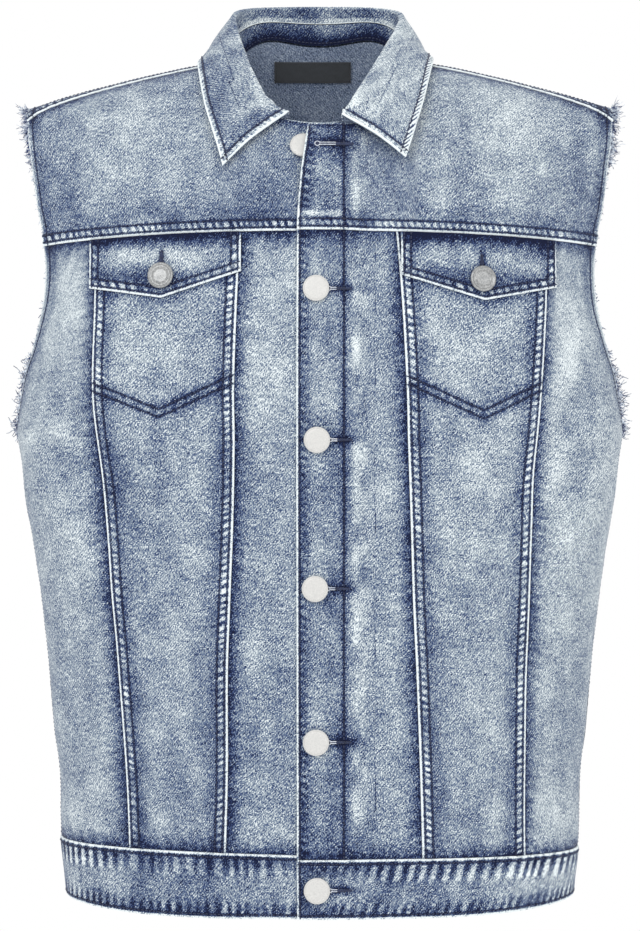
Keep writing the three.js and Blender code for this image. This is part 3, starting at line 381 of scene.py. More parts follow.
def front_yoke_point(sign):
    def edge_x(z):
        return read_table(OVER_EDGE, 1, z) if sign > 0 else np.full_like(np.asarray(z, float), -UNDER_EDGE_X)

    start = math.asin(float(edge_x(NECK_FRONT_Z)) / HPS_X) / (math.pi / 2)
    side_start = armhole_x(front_yoke_z(YOKE_SIDE_X))

    def point_at(u, v):
        bottom_x = mix(edge_x(FRONT_YOKE_Z), side_start, u)
        bottom_angle = dome_angle(bottom_x, front_yoke_z(bottom_x) + GAP / 2, -1)
        neck_x, neck_angle, _ = neck_place(np.minimum(mix(start, 1, u / NECK_SHARE), 1), sign)
        seam_x = mix(HPS_X, SHOULDER_TIP_X, np.clip((u - NECK_SHARE) / (1 - NECK_SHARE), 0, 1))
        on_neck = u < NECK_SHARE
        top_x = np.where(on_neck, neck_x, seam_x)
        top_angle = np.where(on_neck, neck_angle, shoulder_angle(seam_x))
        angle = mix(bottom_angle, top_angle - SHOULDER_GAP_ANGLE, v)
        side_x = mix(side_start, SHOULDER_TIP_X, v)
        low = dome_angle(side_x, front_yoke_z(YOKE_SIDE_X), -1)
        side_z = dome_point(side_x, mix(low, shoulder_angle(side_x), v), -1)[..., 2]
        pull = u**3 * (armhole_x(side_z) - side_x)
        middle_x = mix(edge_x(FRONT_YOKE_Z), edge_x(NECK_FRONT_Z), v)
        push = (1 - u) ** 4 * (edge_x(mix(FRONT_YOKE_Z, NECK_FRONT_Z, v)) - middle_x)
        return dome_point(sign * (mix(bottom_x, top_x, v) + pull + push), angle, -1)

    return point_at


def back_yoke_point(u, v):
    place = 2 * u - 1
    sign = np.where(place < 0, -1, 1)
    share = np.abs(place)
    side_start = armhole_x(back_yoke_z(YOKE_SIDE_X))
    bottom_x = share * side_start
    bottom_angle = dome_angle(bottom_x, back_yoke_z(bottom_x) + GAP / 2, 1)
    neck_x, neck_angle, _ = neck_place(2 - SHORT_OF_SEAM * np.minimum(share / NECK_SHARE, 1), 1)
    seam_x = mix(HPS_X, SHOULDER_TIP_X, np.clip((share - NECK_SHARE) / (1 - NECK_SHARE), 0, 1))
    on_neck = share < NECK_SHARE
    top_x = np.where(on_neck, neck_x, seam_x)
    top_angle = np.where(on_neck, neck_angle, math.pi - shoulder_angle(seam_x))
    side_x = mix(side_start, SHOULDER_TIP_X, v)
    side_top = math.pi - shoulder_angle(SHOULDER_TIP_X)
    side_z = dome_point(side_x, mix(dome_angle(side_x, back_yoke_z(side_x), 1), side_top, v), 1)[..., 2]
    pull = share**3 * (armhole_x(side_z) - side_x)
    return dome_point(sign * (mix(bottom_x, top_x, v) + pull), mix(bottom_angle, top_angle, v), 1)


def lower_point(x_at, side, sign):
    """A lower panel between two seam lines; one row of every panel lies level with the underarm"""
    top_at = front_yoke_z if side < 0 else back_yoke_z

    def point_at(u, v):
        z = np.full_like(u * v, PANEL_MIDDLE_Z)
        for _ in range(SEAM_ROUNDS):
            x = x_at(u, z)
            bottom = band_top_z(sign * x, side, sign) + GAP / 2
            low = mix(bottom, UNDERARM_Z, v / UNDERARM_ROW)
            high = mix(UNDERARM_Z, top_at(x) - GAP / 2, (v - UNDERARM_ROW) / (1 - UNDERARM_ROW))
            z = np.where(v < UNDERARM_ROW, low, high)
        return body_point(sign * x_at(u, z), z, side)

    return point_at


def side_panel_x(seam_x):
    """x across a side panel, spaced evenly around the bend"""

    def turn_of(x, z):
        return np.arcsin(np.clip(x / half_width(z), 0, 1) ** (ROUNDNESS / 2))

    side_seam = math.pi / 2 - SIDE_SEAM_TURN

    def x_at(u, z):
        start = turn_of(seam_x(z) + GAP / 2, z)
        end = np.where(z > UNDERARM_Z, np.minimum(turn_of(armhole_x(z), z), side_seam), side_seam)
        return half_width(z) * np.sin(mix(start, end, u)) ** (2 / ROUNDNESS)

    return x_at


def signed_power(value):
    return np.sign(value) * np.abs(value) ** (2 / ROUNDNESS)


def band_turn(x):
    return math.copysign(math.asin(abs(x / float(half_width(BAND_Z))) ** (ROUNDNESS / 2)), x)


def band_point(u, v):
    turn = mix(band_turn(UNDER_EDGE_X), band_turn(OVER_EDGE_X) - 2 * math.pi, u)
    middle_x = BAND_X * signed_power(np.sin(turn))
    side = np.where(np.cos(turn) > 0, -1, 1)
    top = band_top_z(middle_x, side, np.where(u < 0.5, -1, 1))
    z = mix(band_bottom_z(middle_x), top - GAP / 2, v)
    y = -depth_at(z, side) * signed_power(np.cos(turn))
    return np.stack([half_width(z) * signed_power(np.sin(turn)), y, z], axis=-1)


def curve_through(points, t):
    """Uniform Catmull-Rom curve through points, t from 0 to 1, with the ends mirrored"""
    points = [np.asarray(p, float) for p in points]
    count = len(points) - 1
    points = [2 * points[0] - points[1], *points, 2 * points[-1] - points[-2]]
    stack = np.stack(np.broadcast_arrays(*points))
    t = np.clip(np.asarray(t, float), 0, 1) * count
    i = np.minimum(t.astype(int), count - 1)
    w = (t - i)[..., None]
    if stack.ndim == 2:
        a, b, c, d = (stack[i + k] for k in range(4))
    else:
        grid = np.indices(t.shape)
        a, b, c, d = (stack[(i + k, *grid)] for k in range(4))
    return 0.5 * (2 * b + (c - a) * w + (2 * a - 5 * b + 4 * c - d) * w**2 + (3 * (b - c) + d - a) * w**3)


STATIONS = COLLAR_LEFT + [(4 - place, top, edge) for place, top, edge in reversed(COLLAR_RIGHT)]


def neck_at(u):
    place = spline_1d([station[0] for station in STATIONS], u)
    left = neck_point(np.minimum(place, 2), -1)
    right = neck_point(np.minimum(4 - place, 2), 1)
    return np.where((place < 2)[..., None], left, right)


def spline_1d(values, t):
    """The end points are repeated here, as the solid's place curve does"""
    values = np.array([values[0], *values, values[-1]], float)
    count = len(values) - 3
    t = np.clip(np.asarray(t, float), 0, 1) * count
    i = np.minimum(t.astype(int), count - 1)
    w = t - i
    a, b, c, d = (values[i + k] for k in range(4))
    return b + 0.5 * w * (c - a + w * (2 * a - 5 * b + 4 * c - d + w * (3 * (b - c) + d - a)))


def roll_at(u):
    return curve_through([station[1] for station in STATIONS], u)


def leaf_edge_at(u):
    return curve_through([station[2] for station in STATIONS], u)


def stand_top(u):
    return mix(neck_at(u), roll_at(u), STAND_SHARE)


def stand_point(u, v):
    low, high = neck_at(u), stand_top(u)
    length = np.linalg.norm(high - low, axis=-1)
    place = spline_1d([station[0] for station in STATIONS], u)
    shoulder = np.minimum(np.abs(place - STAND_SHOULDER), np.abs(4 - place - STAND_SHOULDER))
    start = 1.4 + 1.1 * bell(shoulder, 0, STAND_SPREAD)
    return low + (high - low) * mix(start / length, 1 - 0.3 / length, v)[..., None]


def leaf_point(u, v):
    foot, roll, edge = stand_top(u), roll_at(u), leaf_edge_at(u)
    level = np.array([1, 1, 0])
    away = unit((edge - roll) * level)
    climb = np.linalg.norm(roll - foot, axis=-1, keepdims=True)
    fall = np.linalg.norm(edge - roll, axis=-1, keepdims=True)
    bend = np.minimum(2.2, climb * 0.4)
    up = np.array([0, 0, 1.0])
    from_end = np.minimum(u, 1 - u)[..., None]
    bow = away + up * LEAF_BOW_UP * smooth(0, LEAF_END_SHARE, from_end)
    stations = [
        foot + (roll - foot) * np.minimum(0.3, 0.4 / climb),
        mix(foot, roll, 0.6),
        roll,
        roll + unit(edge - roll) * bend * 1.6 + up * bend * 0.55,
        mix(roll, edge, 0.5) + bow * fall * LEAF_BOW,
        edge,
    ]
    return curve_through(stations, v)


HALVINGS = 40


def back_point_at(x, z):
    """A point of the back yoke by x and height"""
    low, high = np.zeros_like(x), np.full_like(x, math.pi / 2)
    for _ in range(HALVINGS):
        middle = (low + high) / 2
        below = dome_point(x, middle, 1)[..., 2] < z
        low, high = np.where(below, middle, low), np.where(below, high, middle)
    return dome_point(x, low, 1)


# Uneven values that come out the same each run
LINE_KNOTS, LINE_SHIFT = 512, 200
CLOUD_KNOTS, CLOUD_SHIFT = 128, 60


def wander(s, size, seed, low=-1.0, high=1.0):
    """A smooth uneven line of values; s in mm, size the usual distance between turns"""
    knots = np.random.default_rng(seed).uniform(low, high, LINE_KNOTS)
    place = np.mod(s / size + LINE_SHIFT, LINE_KNOTS - 2)
    i = place.astype(int)
    t = place - i
    return mix(knots[i], knots[i + 1], t * t * (3 - 2 * t))


def cloud(x, z, size, seed):
    """A smooth uneven field from -1 to 1"""
    knots = np.random.default_rng(seed).uniform(-1, 1, (CLOUD_KNOTS, CLOUD_KNOTS))
    px, pz = (np.mod(value / size + CLOUD_SHIFT, CLOUD_KNOTS - 2) for value in (x, z))
    i, j = px.astype(int), pz.astype(int)
    s, t = px - i, pz - j
    s, t = s * s * (3 - 2 * s), t * t * (3 - 2 * t)
    return mix(mix(knots[i, j], knots[i + 1, j], s), mix(knots[i, j + 1], knots[i + 1, j + 1], s), t)


# Meshes
def run_along(points, axis):
    steps = np.linalg.norm(np.diff(points, axis=axis), axis=-1)
    start = np.zeros_like(np.take(points[..., 0], [0], axis=axis))
    return np.concatenate([start, np.cumsum(steps, axis=axis)], axis=axis)


def grid_faces(rows, columns, offset=0):
    at = np.arange(rows * columns).reshape(rows, columns) + offset
    return np.stack([at[:-1, :-1], at[:-1, 1:], at[1:, 1:], at[1:, :-1]], axis=-1).reshape(-1, 4)


def tube_faces(rings, sides, count=1):
    """The quads and the two end caps of closed tubes, each of so many rings of points"""
    quads = []
    for ring in range(rings - 1):
        for k in range(sides):
            a, b = ring * sides + k, ring * sides + (k + 1) % sides
            quads.append((a, b, b + sides, a + sides))
    per = rings * sides
    caps = [range(sides - 1, -1, -1), range(per - sides, per)]
    start = np.arange(count)[:, None, None] * per
    return [(np.array(faces)[None] + start).reshape(-1, len(faces[0])) for faces in (quads, caps)]


def make_object(name, points, face_groups, material, vectors=None, uv=None, sharp=None):
    mesh = bpy.data.meshes.new(name)
    mesh.vertices.add(len(points))
    mesh.vertices.foreach_set("co", (np.asarray(points) * MM).ravel())
    loops = np.concatenate([faces.ravel() for faces in face_groups])
    sizes = np.concatenate([np.full(len(faces), faces.shape[1]) for faces in face_groups])
    mesh.loops.add(len(loops))
    mesh.loops.foreach_set("vertex_index", loops)
    mesh.polygons.add(len(sizes))
    mesh.polygons.foreach_set("loop_start", np.concatenate([[0], np.cumsum(sizes)[:-1]]))
    mesh.polygons.foreach_set("loop_total", sizes)
    mesh.polygons.foreach_set("use_smooth", np.ones(len(sizes), bool))
    if uv is not None:
        layer = mesh.uv_layers.new(name="weave")
        layer.data.foreach_set("uv", uv[loops].ravel())
    for title, values in (vectors or {}).items():
        attribute = mesh.attributes.new(title, "FLOAT_VECTOR", "POINT")
        attribute.data.foreach_set("vector", values.ravel())
    mesh.update(calc_edges=True)
    if sharp:
        mesh.set_sharp_from_angle(angle=math.radians(sharp))
    mesh.materials.append(material)
    obj = bpy.data.objects.new(name, mesh)
    bpy.context.scene.collection.objects.link(obj)
    return obj


def lines(length, pitch, start_edge=True):
    """Places from 0 to 1, closer together at an edge that shows"""
    near = np.array([0, 0.35, 0.9, 1.7]) / length
    start = near if start_edge else near[:1]
    low, high = start[-1], 1 - near[-1]
    count = max(int(round((high - low) * length / pitch)), 2)
    return np.concatenate([start, np.linspace(low, high, count + 1)[1:-1], 1 - near[::-1]])


# Panels of cloth: each grid point keeps its distances from the seams, for what the material draws there
NO_EDGE = 60.0
NO_MARKS = (NO_EDGE, NO_EDGE)
ONE_ROW = (2.3, NO_EDGE)
SEAM_TICKS = (3.4, 7.6)
NORMAL_STEP = 0.002


def rope_phase(s, pitch, seed):
    """Turns of the uneven puckers along a seam, about one in each pitch"""
    return s / pitch + 0.4 * wander(s, pitch * 2.3, seed)


class Panel:
    """A piece of cloth on a grid, u across and v along it, between its edges u0, u1, v0 and v1"""

    def __init__(self, node, point_at, columns, rows, facing):
        self.name, self.facing = f"dressed_{node}", facing
        u, v = self.u, self.v = np.meshgrid(columns, rows)
        across = point_at(np.minimum(u + NORMAL_STEP, 1), v) - point_at(np.maximum(u - NORMAL_STEP, 0), v)
        along = point_at(u, np.minimum(v + NORMAL_STEP, 1)) - point_at(u, np.maximum(v - NORMAL_STEP, 0))
        self.normal = unit(np.cross(across, along)) * facing
        self.base = point_at(u, v)
        self.x, self.z = self.base[..., 0], self.base[..., 2]
        self.from_u0, self.from_v0 = run_along(self.base, 1), run_along(self.base, 0)
        self.from_u1 = self.from_u0[:, -1:] - self.from_u0
        self.from_v1 = self.from_v0[-1:, :] - self.from_v0
        self.runs = {"u": self.z, "v": self.x}
        self.edge, self.under, self.line, self.raw = (np.full(u.shape, NO_EDGE) for _ in range(4))
        # Change of tone at each point: wear and indigo, and also painted shade and shadows, marked where they
        # are added
        self.phase, self.strength, self.paleness, self.pucker = (np.zeros(u.shape) for _ in range(4))
        self.tone = np.full(u.shape, 0.6)
        self.rows_at = np.tile(np.array(DOUBLE_ROWS, float), (*u.shape, 1))
        self.ticks = np.tile(np.array(SEAM_TICKS, float), (*u.shape, 1))
        self.line_half = 0.0
        # A shift of the weave, so that no two panels have the same threads
        self.weave_offset = sum((k + 3) * ord(letter) for k, letter in enumerate(self.name)) % 97 * 3.7

    def away(self, *edges, only=True):
        """Distance from the nearest of these edges, where only holds"""
        nearest = np.minimum.reduce([getattr(self, "from_" + edge) for edge in edges])
        return np.where(only, nearest, NO_EDGE)

    def gather(self, distance, along, seed, pitch=5.4, height=0.3, reach=13.0, slant=0.35):
        """Puckers across a seam, pale on their crests; gives their phase and strength"""
        phase = rope_phase(along + distance * slant, pitch, seed)
        strength = wander(along, pitch * 3, seed + 1, 0.25, 1.0)
        crest = strength * np.sin(2 * math.pi * phase) * bell(distance, 0, reach)
        self.pucker = self.pucker + height * crest
        self.paleness = self.paleness + 0.5 * height * crest
        return phase, strength

    def over(self, edges, seed, rows=DOUBLE_ROWS, ticks=SEAM_TICKS, only=True, start=0.0, **puckers):
        """Folded edges that show, with stitched rows at these distances and pale ticks between those"""
        for k, edge in enumerate(edges.split()):
            distance = self.away(edge, only=only) + start
            phase, strength = self.gather(distance, self.runs[edge[0]], seed + 2 * k, **puckers)
            nearer = distance < self.edge
            self.edge = np.where(nearer, distance, self.edge)
            self.rows_at = np.where(nearer[..., None], np.array(rows, float), self.rows_at)
            self.ticks = np.where(nearer[..., None], np.array(ticks, float), self.ticks)
            self.phase = np.where(nearer, phase, self.phase)
            self.strength = np.where(nearer, strength, self.strength)

    def beside(self, edges, seed, only=True, height=0.24):
        """Edges that lie against a lapped seam"""
        for k, edge in enumerate(edges.split()):
            distance = self.away(edge, only=only)
            self.gather(distance, self.runs[edge[0]], seed + 2 * k, pitch=8.5, height=height, reach=14.0)
            self.under = np.minimum(self.under, distance)

    def face(self, low, thick, bend=0.0, deepest=0.8):
        """Sets both faces: the base raised by low, then the wall with its puckers and creases"""
        self.low = low
        self.high = low + thick + np.maximum(bend + self.pucker, -deepest)

    def rounded(self, amount=0.55, reach=1.4):
        """Rounds the outer face down at the folded edges"""
        self.high = self.high - amount * (1 - np.clip(self.edge / reach, 0, 1)) ** 2

    def build(self, material):
        self.inner = self.base + self.normal * self.low[..., None]
        self.outer = self.base + self.normal * self.high[..., None]
        rows, columns = self.u.shape
        count = rows * columns
        at = np.arange(count).reshape(rows, columns)
        rim = [
            np.stack([r[:-1], r[1:], r[1:] + count, r[:-1] + count], axis=-1)
            for r in (at[0, :], at[:, -1], at[-1, ::-1], at[::-1, 0])
        ]
        faces = np.concatenate([grid_faces(rows, columns)[:, ::-1], grid_faces(rows, columns, count), *rim])
        if self.facing < 0:
            faces = faces[:, ::-1]
        points = np.concatenate([self.inner.reshape(-1, 3), self.outer.reshape(-1, 3)])
        middle = rows // 2
        threads = self.facing * (self.from_u0[middle] + np.abs(self.x[middle, 0])) + self.weave_offset
        across = np.broadcast_to(threads, self.u.shape)
        uv = np.stack([across.ravel(), (self.from_v0 + self.weave_offset).ravel()], axis=-1)

        def both(*values):
            stacked = np.stack([(value + np.zeros_like(self.u)).ravel() for value in values], axis=-1)
            return np.concatenate([stacked, stacked])

        under = both(self.under, 0, 0)
        under[:count, 1] = 1
        vectors = {
            "tone": both(self.tone, self.paleness, self.raw),
            "edge": both(self.edge, self.rows_at[..., 0], self.rows_at[..., 1]),
            "under": under,
            "line": both(self.line, self.line_half, self.strength),
            "rope": both(self.phase, self.ticks[..., 0], self.ticks[..., 1]),
        }
        return make_object(self.name, points, [faces], material, vectors, np.concatenate([uv, uv]), sharp=50)

    def row(self, field, level, along, keep=None):
        """Points and normals of the outer face where field reaches level, on each grid line it crosses"""
        points, normals = self.outer, self.normal
        if along == "u":
            field, points, normals = field.T, points.transpose(1, 0, 2), normals.transpose(1, 0, 2)
        found = []
        for f, p, n in zip(field, points, normals):
            crossing = np.nonzero((f[:-1] - level) * (f[1:] - level) <= 0)[0]
            if len(crossing) == 0:
                continue
            i = crossing[0]
            t = (level - f[i]) / (f[i + 1] - f[i]) if f[i + 1] != f[i] else 0
            point = mix(p[i], p[i + 1], t)
            if keep is None or keep(point):
                found.append((point, mix(n[i], n[i + 1], t)))
        return np.array([point for point, _ in found]), [normal for _, normal in found]


class Thread:
    """Stitches of one colour, short capsules that are gathered into one mesh"""

    SIDES = 6
    # Place along the stitch, width and drop of each ring
    RINGS = ((-0.5, 0.35, -0.42), (-0.3, 1.0, 0.0), (0.3, 1.0, 0.0), (0.5, 0.35, -0.42))
    LONGEST_STEP = 12

    def __init__(self, name):
        self.name = name
        self.places = []

    def stitch(self, centre, along, normal, length, radius):
        self.places.append(np.concatenate([centre, along, normal, [length, radius]]))

    def sew(self, row, pitch=PITCH, fill=0.74, radius=THREAD, sink=0.12):
        points, normals = row
        if len(points) < 2:
            return
        normals = unit(np.array(normals))
        steps = np.linalg.norm(np.diff(points, axis=0), axis=1)
        run = np.concatenate([[0], np.cumsum(steps)])
        count = int(run[-1] / pitch)
        for k in range(count):
            s = (k + 0.5) * run[-1] / count
            i = min(np.searchsorted(run, s) - 1, len(steps) - 1)
            if steps[i] > self.LONGEST_STEP:
                continue
            t = (s - run[i]) / steps[i]
            normal = unit(mix(normals[i], normals[i + 1], t))
            centre = mix(points[i], points[i + 1], t) + normal * sink
            length = pitch * fill * (1 + 0.1 * math.sin(s * 1.7 + i))
            self.stitch(centre, unit(points[i + 1] - points[i]), normal, length, radius)

    def sew_edges(self, panel, edges, levels, keep=None, **look):
        """Rows of stitches at these distances from these edges"""
        for level in levels:
            for edge in edges.split():
                self.sew(panel.row(panel.away(edge), level, "v" if edge[0] == "u" else "u", keep), **look)

    def build(self, material):
        centre, along, normal, length, radius = np.split(np.array(self.places), [3, 6, 9, 10], axis=1)
        across = unit(np.cross(along, normal))
        normal = np.cross(across, along)
        points = []
        for place, wide, drop in self.RINGS:
            middle = centre + along * length * place + normal * drop * radius * 1.6
            for turn in 2 * math.pi * np.arange(self.SIDES) / self.SIDES:
                points.append(middle + (across * math.cos(turn) + normal * math.sin(turn)) * radius * wide)
        points = np.stack(points, axis=1).reshape(-1, 3)
        return make_object(self.name, points, tube_faces(len(self.RINGS), self.SIDES, len(centre)), material)


# Materials: values are passed about as signals, so that a formula reads as one
class Signal:
    def __init__(self, graph, socket):
        self.graph, self.socket = graph, socket

    def __add__(self, other):
        return self.graph.math("ADD", self, other)

    def __sub__(self, other):
        return self.graph.math("SUBTRACT", self, other)

    def __rsub__(self, other):
        return self.graph.math("SUBTRACT", other, self)

    def __mul__(self, other):
        return self.graph.math("MULTIPLY", self, other)

    __radd__ = __add__
    __rmul__ = __mul__


class Graph:
    def __init__(self, name):
        self.material = bpy.data.materials.new(name)
        self.material.use_nodes = True
        self.tree = self.material.node_tree
        self.tree.nodes.clear()
        self.shader = self.tree.nodes.new("ShaderNodeBsdfPrincipled")
        output = self.tree.nodes.new("ShaderNodeOutputMaterial")
        self.tree.links.new(self.shader.outputs["BSDF"], output.inputs["Surface"])

    def put(self, socket, value):
        if isinstance(value, Signal):
            self.tree.links.new(value.socket, socket)
        else:
            socket.default_value = value

    def set(self, **values):
        for title, value in values.items():
            self.put(self.shader.inputs[title.replace("_", " ")], value)

    def add(self, kind, inputs, output=0, **settings):
        """A new node, with its inputs by name or number, and the signal from one of its outputs"""
        node = self.tree.nodes.new("ShaderNode" + kind)
        for title, value in settings.items():
            setattr(node, title, value)
        for key, value in inputs.items():
            self.put(node.inputs[key], value)
        return Signal(self, node.outputs[output])

    def math(self, operation, *values):
        return self.add("Math", dict(enumerate(values)), operation=operation)

    def weave(self):
        return self.add("UVMap", {}, "UV", uv_map="weave")

    def place(self):
        return self.add("TexCoord", {}, "Object")

    def split(self, vector):
        return [self.add("SeparateXYZ", {0: vector}, k) for k in range(3)]

    def attribute(self, name):
        return self.split(self.add("Attribute", {}, "Vector", attribute_name=name))

    def join(self, *values):
        return self.add("CombineXYZ", dict(enumerate(values)))

    def stretch(self, vector, x, y):
        return self.add("VectorMath", {0: vector, 1: (x, y, 1.0)}, operation="MULTIPLY")

    def noise(self, vector, scale=1.0, detail=1.0, roughness=0.5):
        """Uneven values about zero, seldom past 0.5 either way"""
        inputs = {"Vector": vector, "Scale": scale, "Detail": detail, "Roughness": roughness}
        return self.add("TexNoise", inputs) - 0.5

    def bell(self, value, centre, width):
        """1 at centre, falling away to either side"""
        away = (value - centre) * (1 / width)
        return self.math("EXPONENT", away * away * -1.0)

    def step(self, value, low, high):
        inputs = {"Value": value, "From Min": low, "From Max": high}
        return self.add("MapRange", inputs, interpolation_type="SMOOTHSTEP")

    def ramp(self, value, stops, scale=1.0):
        node = self.tree.nodes.new("ShaderNodeValToRGB")
        self.put(node.inputs[0], value)
        elements = node.color_ramp.elements
        while len(elements) < len(stops):
            elements.new(0.5)
        for element, (place, colour) in zip(elements, stops):
            element.position = place
            element.color = srgb(*colour, scale)
        return Signal(self, node.outputs[0])

    def blend(self, share, a, b):
        return self.add("Mix", {0: share, 6: a, 7: b}, 2, data_type="RGBA")

    def bump(self, height, distance, strength=0.6):
        return self.add("Bump", {"Height": height, "Distance": distance, "Strength": strength})


def srgb(red, green, blue, scale=1.0):
    def linear(value):
        value /= 255
        return scale * (value / 12.92 if value <= 0.04045 else ((value + 0.055) / 1.055) ** 2.4)

    return (linear(red), linear(green), linear(blue), 1.0)


# Colours as they look under the studio light, from darkest indigo to worn white
DENIM_RAMP = [
    (0.0, (8, 18, 50)), (0.2, (36, 55, 102)), (0.4, (89, 107, 140)), (0.6, (140, 154, 167)),
    (0.8, (185, 195, 201)), (1.0, (240, 248, 250)),
]
INSIDE_RAMP = [(0.0, (36, 48, 72)), (0.5, (126, 142, 168)), (1.0, (202, 212, 226))]
LIT = 0.9

# Spacing of the twill's ribs across and along the cloth, half width of a dark row, and of the label's ribs
TWILL_ACROSS = 2.4
TWILL_ALONG = 2.6
ROW_HALF = 0.9
LABEL_RIB = 0.42


def denim_material():
    g = Graph("washed denim")
    uv = g.weave()
    # The tone's second value is the change of tone: wear and indigo, with painted shade and shadows added in
    tone, paleness, raw = g.attribute("tone")
    edge, row_1, row_2 = g.attribute("edge")
    under, inside, _ = g.attribute("under")
    line, line_half, strength = g.attribute("line")
    phase, tick_from, tick_to = g.attribute("rope")
    across, along, _ = g.split(uv)

    # The weave: ribs, single yarns, and slubs along the warp
    ribs = across * (1 / TWILL_ACROSS) - along * (1 / TWILL_ALONG)
    twill = g.math("SINE", ribs * (2 * math.pi))
    twilled = g.noise(g.join(ribs * 1.7, along * 0.5, across * 0.1), 1.0, 0.0)
    fine = g.noise(uv, 1.25, 0.0)
    warp = g.noise(g.stretch(uv, 1.5, 0.42), 1.0, 0.0)
    grain = g.noise(g.stretch(uv, 0.5, 0.24), 1.0, 2.0, 0.6)
    patch = g.noise(uv, 0.06, 2.0, 0.55)
    speckle = fine * 1.2 + twilled * 0.5 + warp * 0.9 + grain * 0.4 + twill * (fine * 0.4 + 0.08)

    # The stitched rows sit in dark lines
    first, second = edge - row_1, edge - row_2
    beside_line = g.math("ABSOLUTE", line) - line_half
    rows = g.bell(first, 0.0, ROW_HALF) + g.bell(second, 0.0, ROW_HALF) + g.bell(beside_line, 0.0, ROW_HALF)
    rows = rows + g.bell(raw, ARMHOLE_ROW, ROW_HALF)

    # Dark cloth lies past the last row, under a lapped edge, and beside drawn lines and the raw edge; the
    # narrowest line, right against a lapped edge, is painted shadow of the folded edge
    broken = g.noise(uv, 0.28, 2.0, 0.6)
    double = 1.0 - g.step(row_2, 20.0, 40.0)
    past_double = g.bell(second, 2.5, 6.0) * double * 0.7
    past_single = g.bell(first, 2.5, 6.0) * (1.0 - double)
    halo = g.math("MAXIMUM", past_double, past_single)
    # Under a lapped edge: a broad term of dark indigo, and a narrow term of painted shadow from the folded
    # edge
    halo = halo + g.bell(under, 0.0, 7.5) * 1.5 + g.bell(under, 0.0, 1.8) * 0.7
    halo = halo + g.bell(beside_line, 0.0, 4.4) * 0.9 + g.bell(raw, ARMHOLE_ROW + 4.0, 5.0) * 0.7

    # Folded edges are worn white, and pale puckers stand between the rows
    worn_edge = (1.0 - g.step(edge, 1.0, 1.9)) * (1.0 + broken * 1.8)
    window = g.step(edge - tick_from, -0.7, 0.7) * (1.0 - g.step(edge - tick_to, -1.6, 1.2))
    ticks = g.step(g.math("SINE", phase * (2 * math.pi) + broken * 3.0), -0.6, 0.6) * window * strength
    value = (
        tone + speckle + patch * 0.45
        - rows * 0.55
        - halo * (0.6 + broken * 1.1) * 0.42
        + worn_edge * 0.66
        + ticks * 0.6
        - window * 0.12
        + paleness
        + (1.0 - g.step(raw, 0.8, 2.2)) * 0.4
    )
    outside_colour = g.ramp(value, DENIM_RAMP, LIT)
    inside_colour = g.ramp(0.5 + speckle * 0.9 + patch * 0.5, INSIDE_RAMP, LIT)
    height = twill * 0.2 + twilled * 0.8 + fine * 0.8 + warp * 0.6 - rows * 0.8 + ticks * 0.5
    g.set(Base_Color=g.blend(inside, outside_colour, inside_colour), Roughness=0.93)
    g.set(Normal=g.bump(height, 0.0003), Sheen_Weight=0.1, Sheen_Roughness=0.45, Specular_IOR_Level=0.25)
    return g.material


def thread_material(name, dark, pale, blotch=1.2):
    g = Graph(name)
    place = g.place()
    change = g.noise(place, 300.0, 1.0) * blotch + g.noise(place, 2400.0, 1.0) * 0.6 + 0.5
    g.set(Base_Color=g.ramp(change, [(0.15, dark), (0.85, pale)]), Roughness=0.85, Sheen_Weight=0.2)
    g.set(Normal=g.bump(g.noise(place, 3000.0, 1.0), 0.0002, 0.5))
    return g.material


def metal_material(name, dark, pale, roughness, metallic):
    g = Graph(name)
    place = g.place()
    paleness = g.noise(place, 900.0, 3.0, 0.6) * 1.2 + 0.5
    g.set(Base_Color=g.ramp(paleness, [(0.2, dark), (0.75, pale)]), Metallic=metallic)
    g.set(Roughness=roughness + g.noise(place, 900.0, 3.0) * 0.25)
    g.set(Normal=g.bump(g.noise(place, 1600.0, 3.0, 0.6), 0.00012, 0.5))
    return g.material


def label_material():
    g = Graph("black woven label")
    uv = g.weave()
    ribs = g.math("SINE", g.split(uv)[1] * (2 * math.pi / LABEL_RIB)) * 0.5
    flecks = g.noise(g.stretch(uv, 2.2, 0.5), 1.0, 1.0)
    value = 0.5 + ribs * 0.12 + flecks * 0.5 + g.noise(uv, 0.2, 2.0) * 0.4
    g.set(Base_Color=g.ramp(value, [(0.1, (26, 30, 34)), (0.9, (62, 66, 71))]), Roughness=0.55)
    g.set(Normal=g.bump(ribs + flecks, 0.0001), Sheen_Weight=0.3)
    return g.material


def floor_material():
    g = Graph("pale floor")
    tint = g.noise(g.place(), 30.0, 2.0) * 0.02 + 0.5
    g.set(Base_Color=g.ramp(tint, [(0.0, (252, 252, 252)), (1.0, (255, 255, 255))]), Roughness=0.9)
    return g.material


DENIM = denim_material()
NAVY_THREAD = thread_material("navy thread", (18, 24, 48), (48, 60, 94))
FRINGE_YARN = thread_material("pale yarn", (30, 54, 108), (222, 232, 244), 3.4)
FADED_THREAD = thread_material("faded thread", (176, 188, 208), (246, 248, 250))
LABEL_THREAD = thread_material("black thread", (22, 24, 28), (48, 50, 55))
SILVER = metal_material("silver metal", (196, 196, 194), (214, 213, 210), 0.5, 0.25)
WORN_METAL = metal_material("weathered metal", (112, 114, 117), (186, 187, 186), 0.42, 0.85)
LABEL = label_material()

# How the cloth is worn
FRONT_PITCH = 2.4
BACK_PITCH = 3.2
BEND_PITCH = 2.8
SIDES = (("left", -1), ("right", 1))

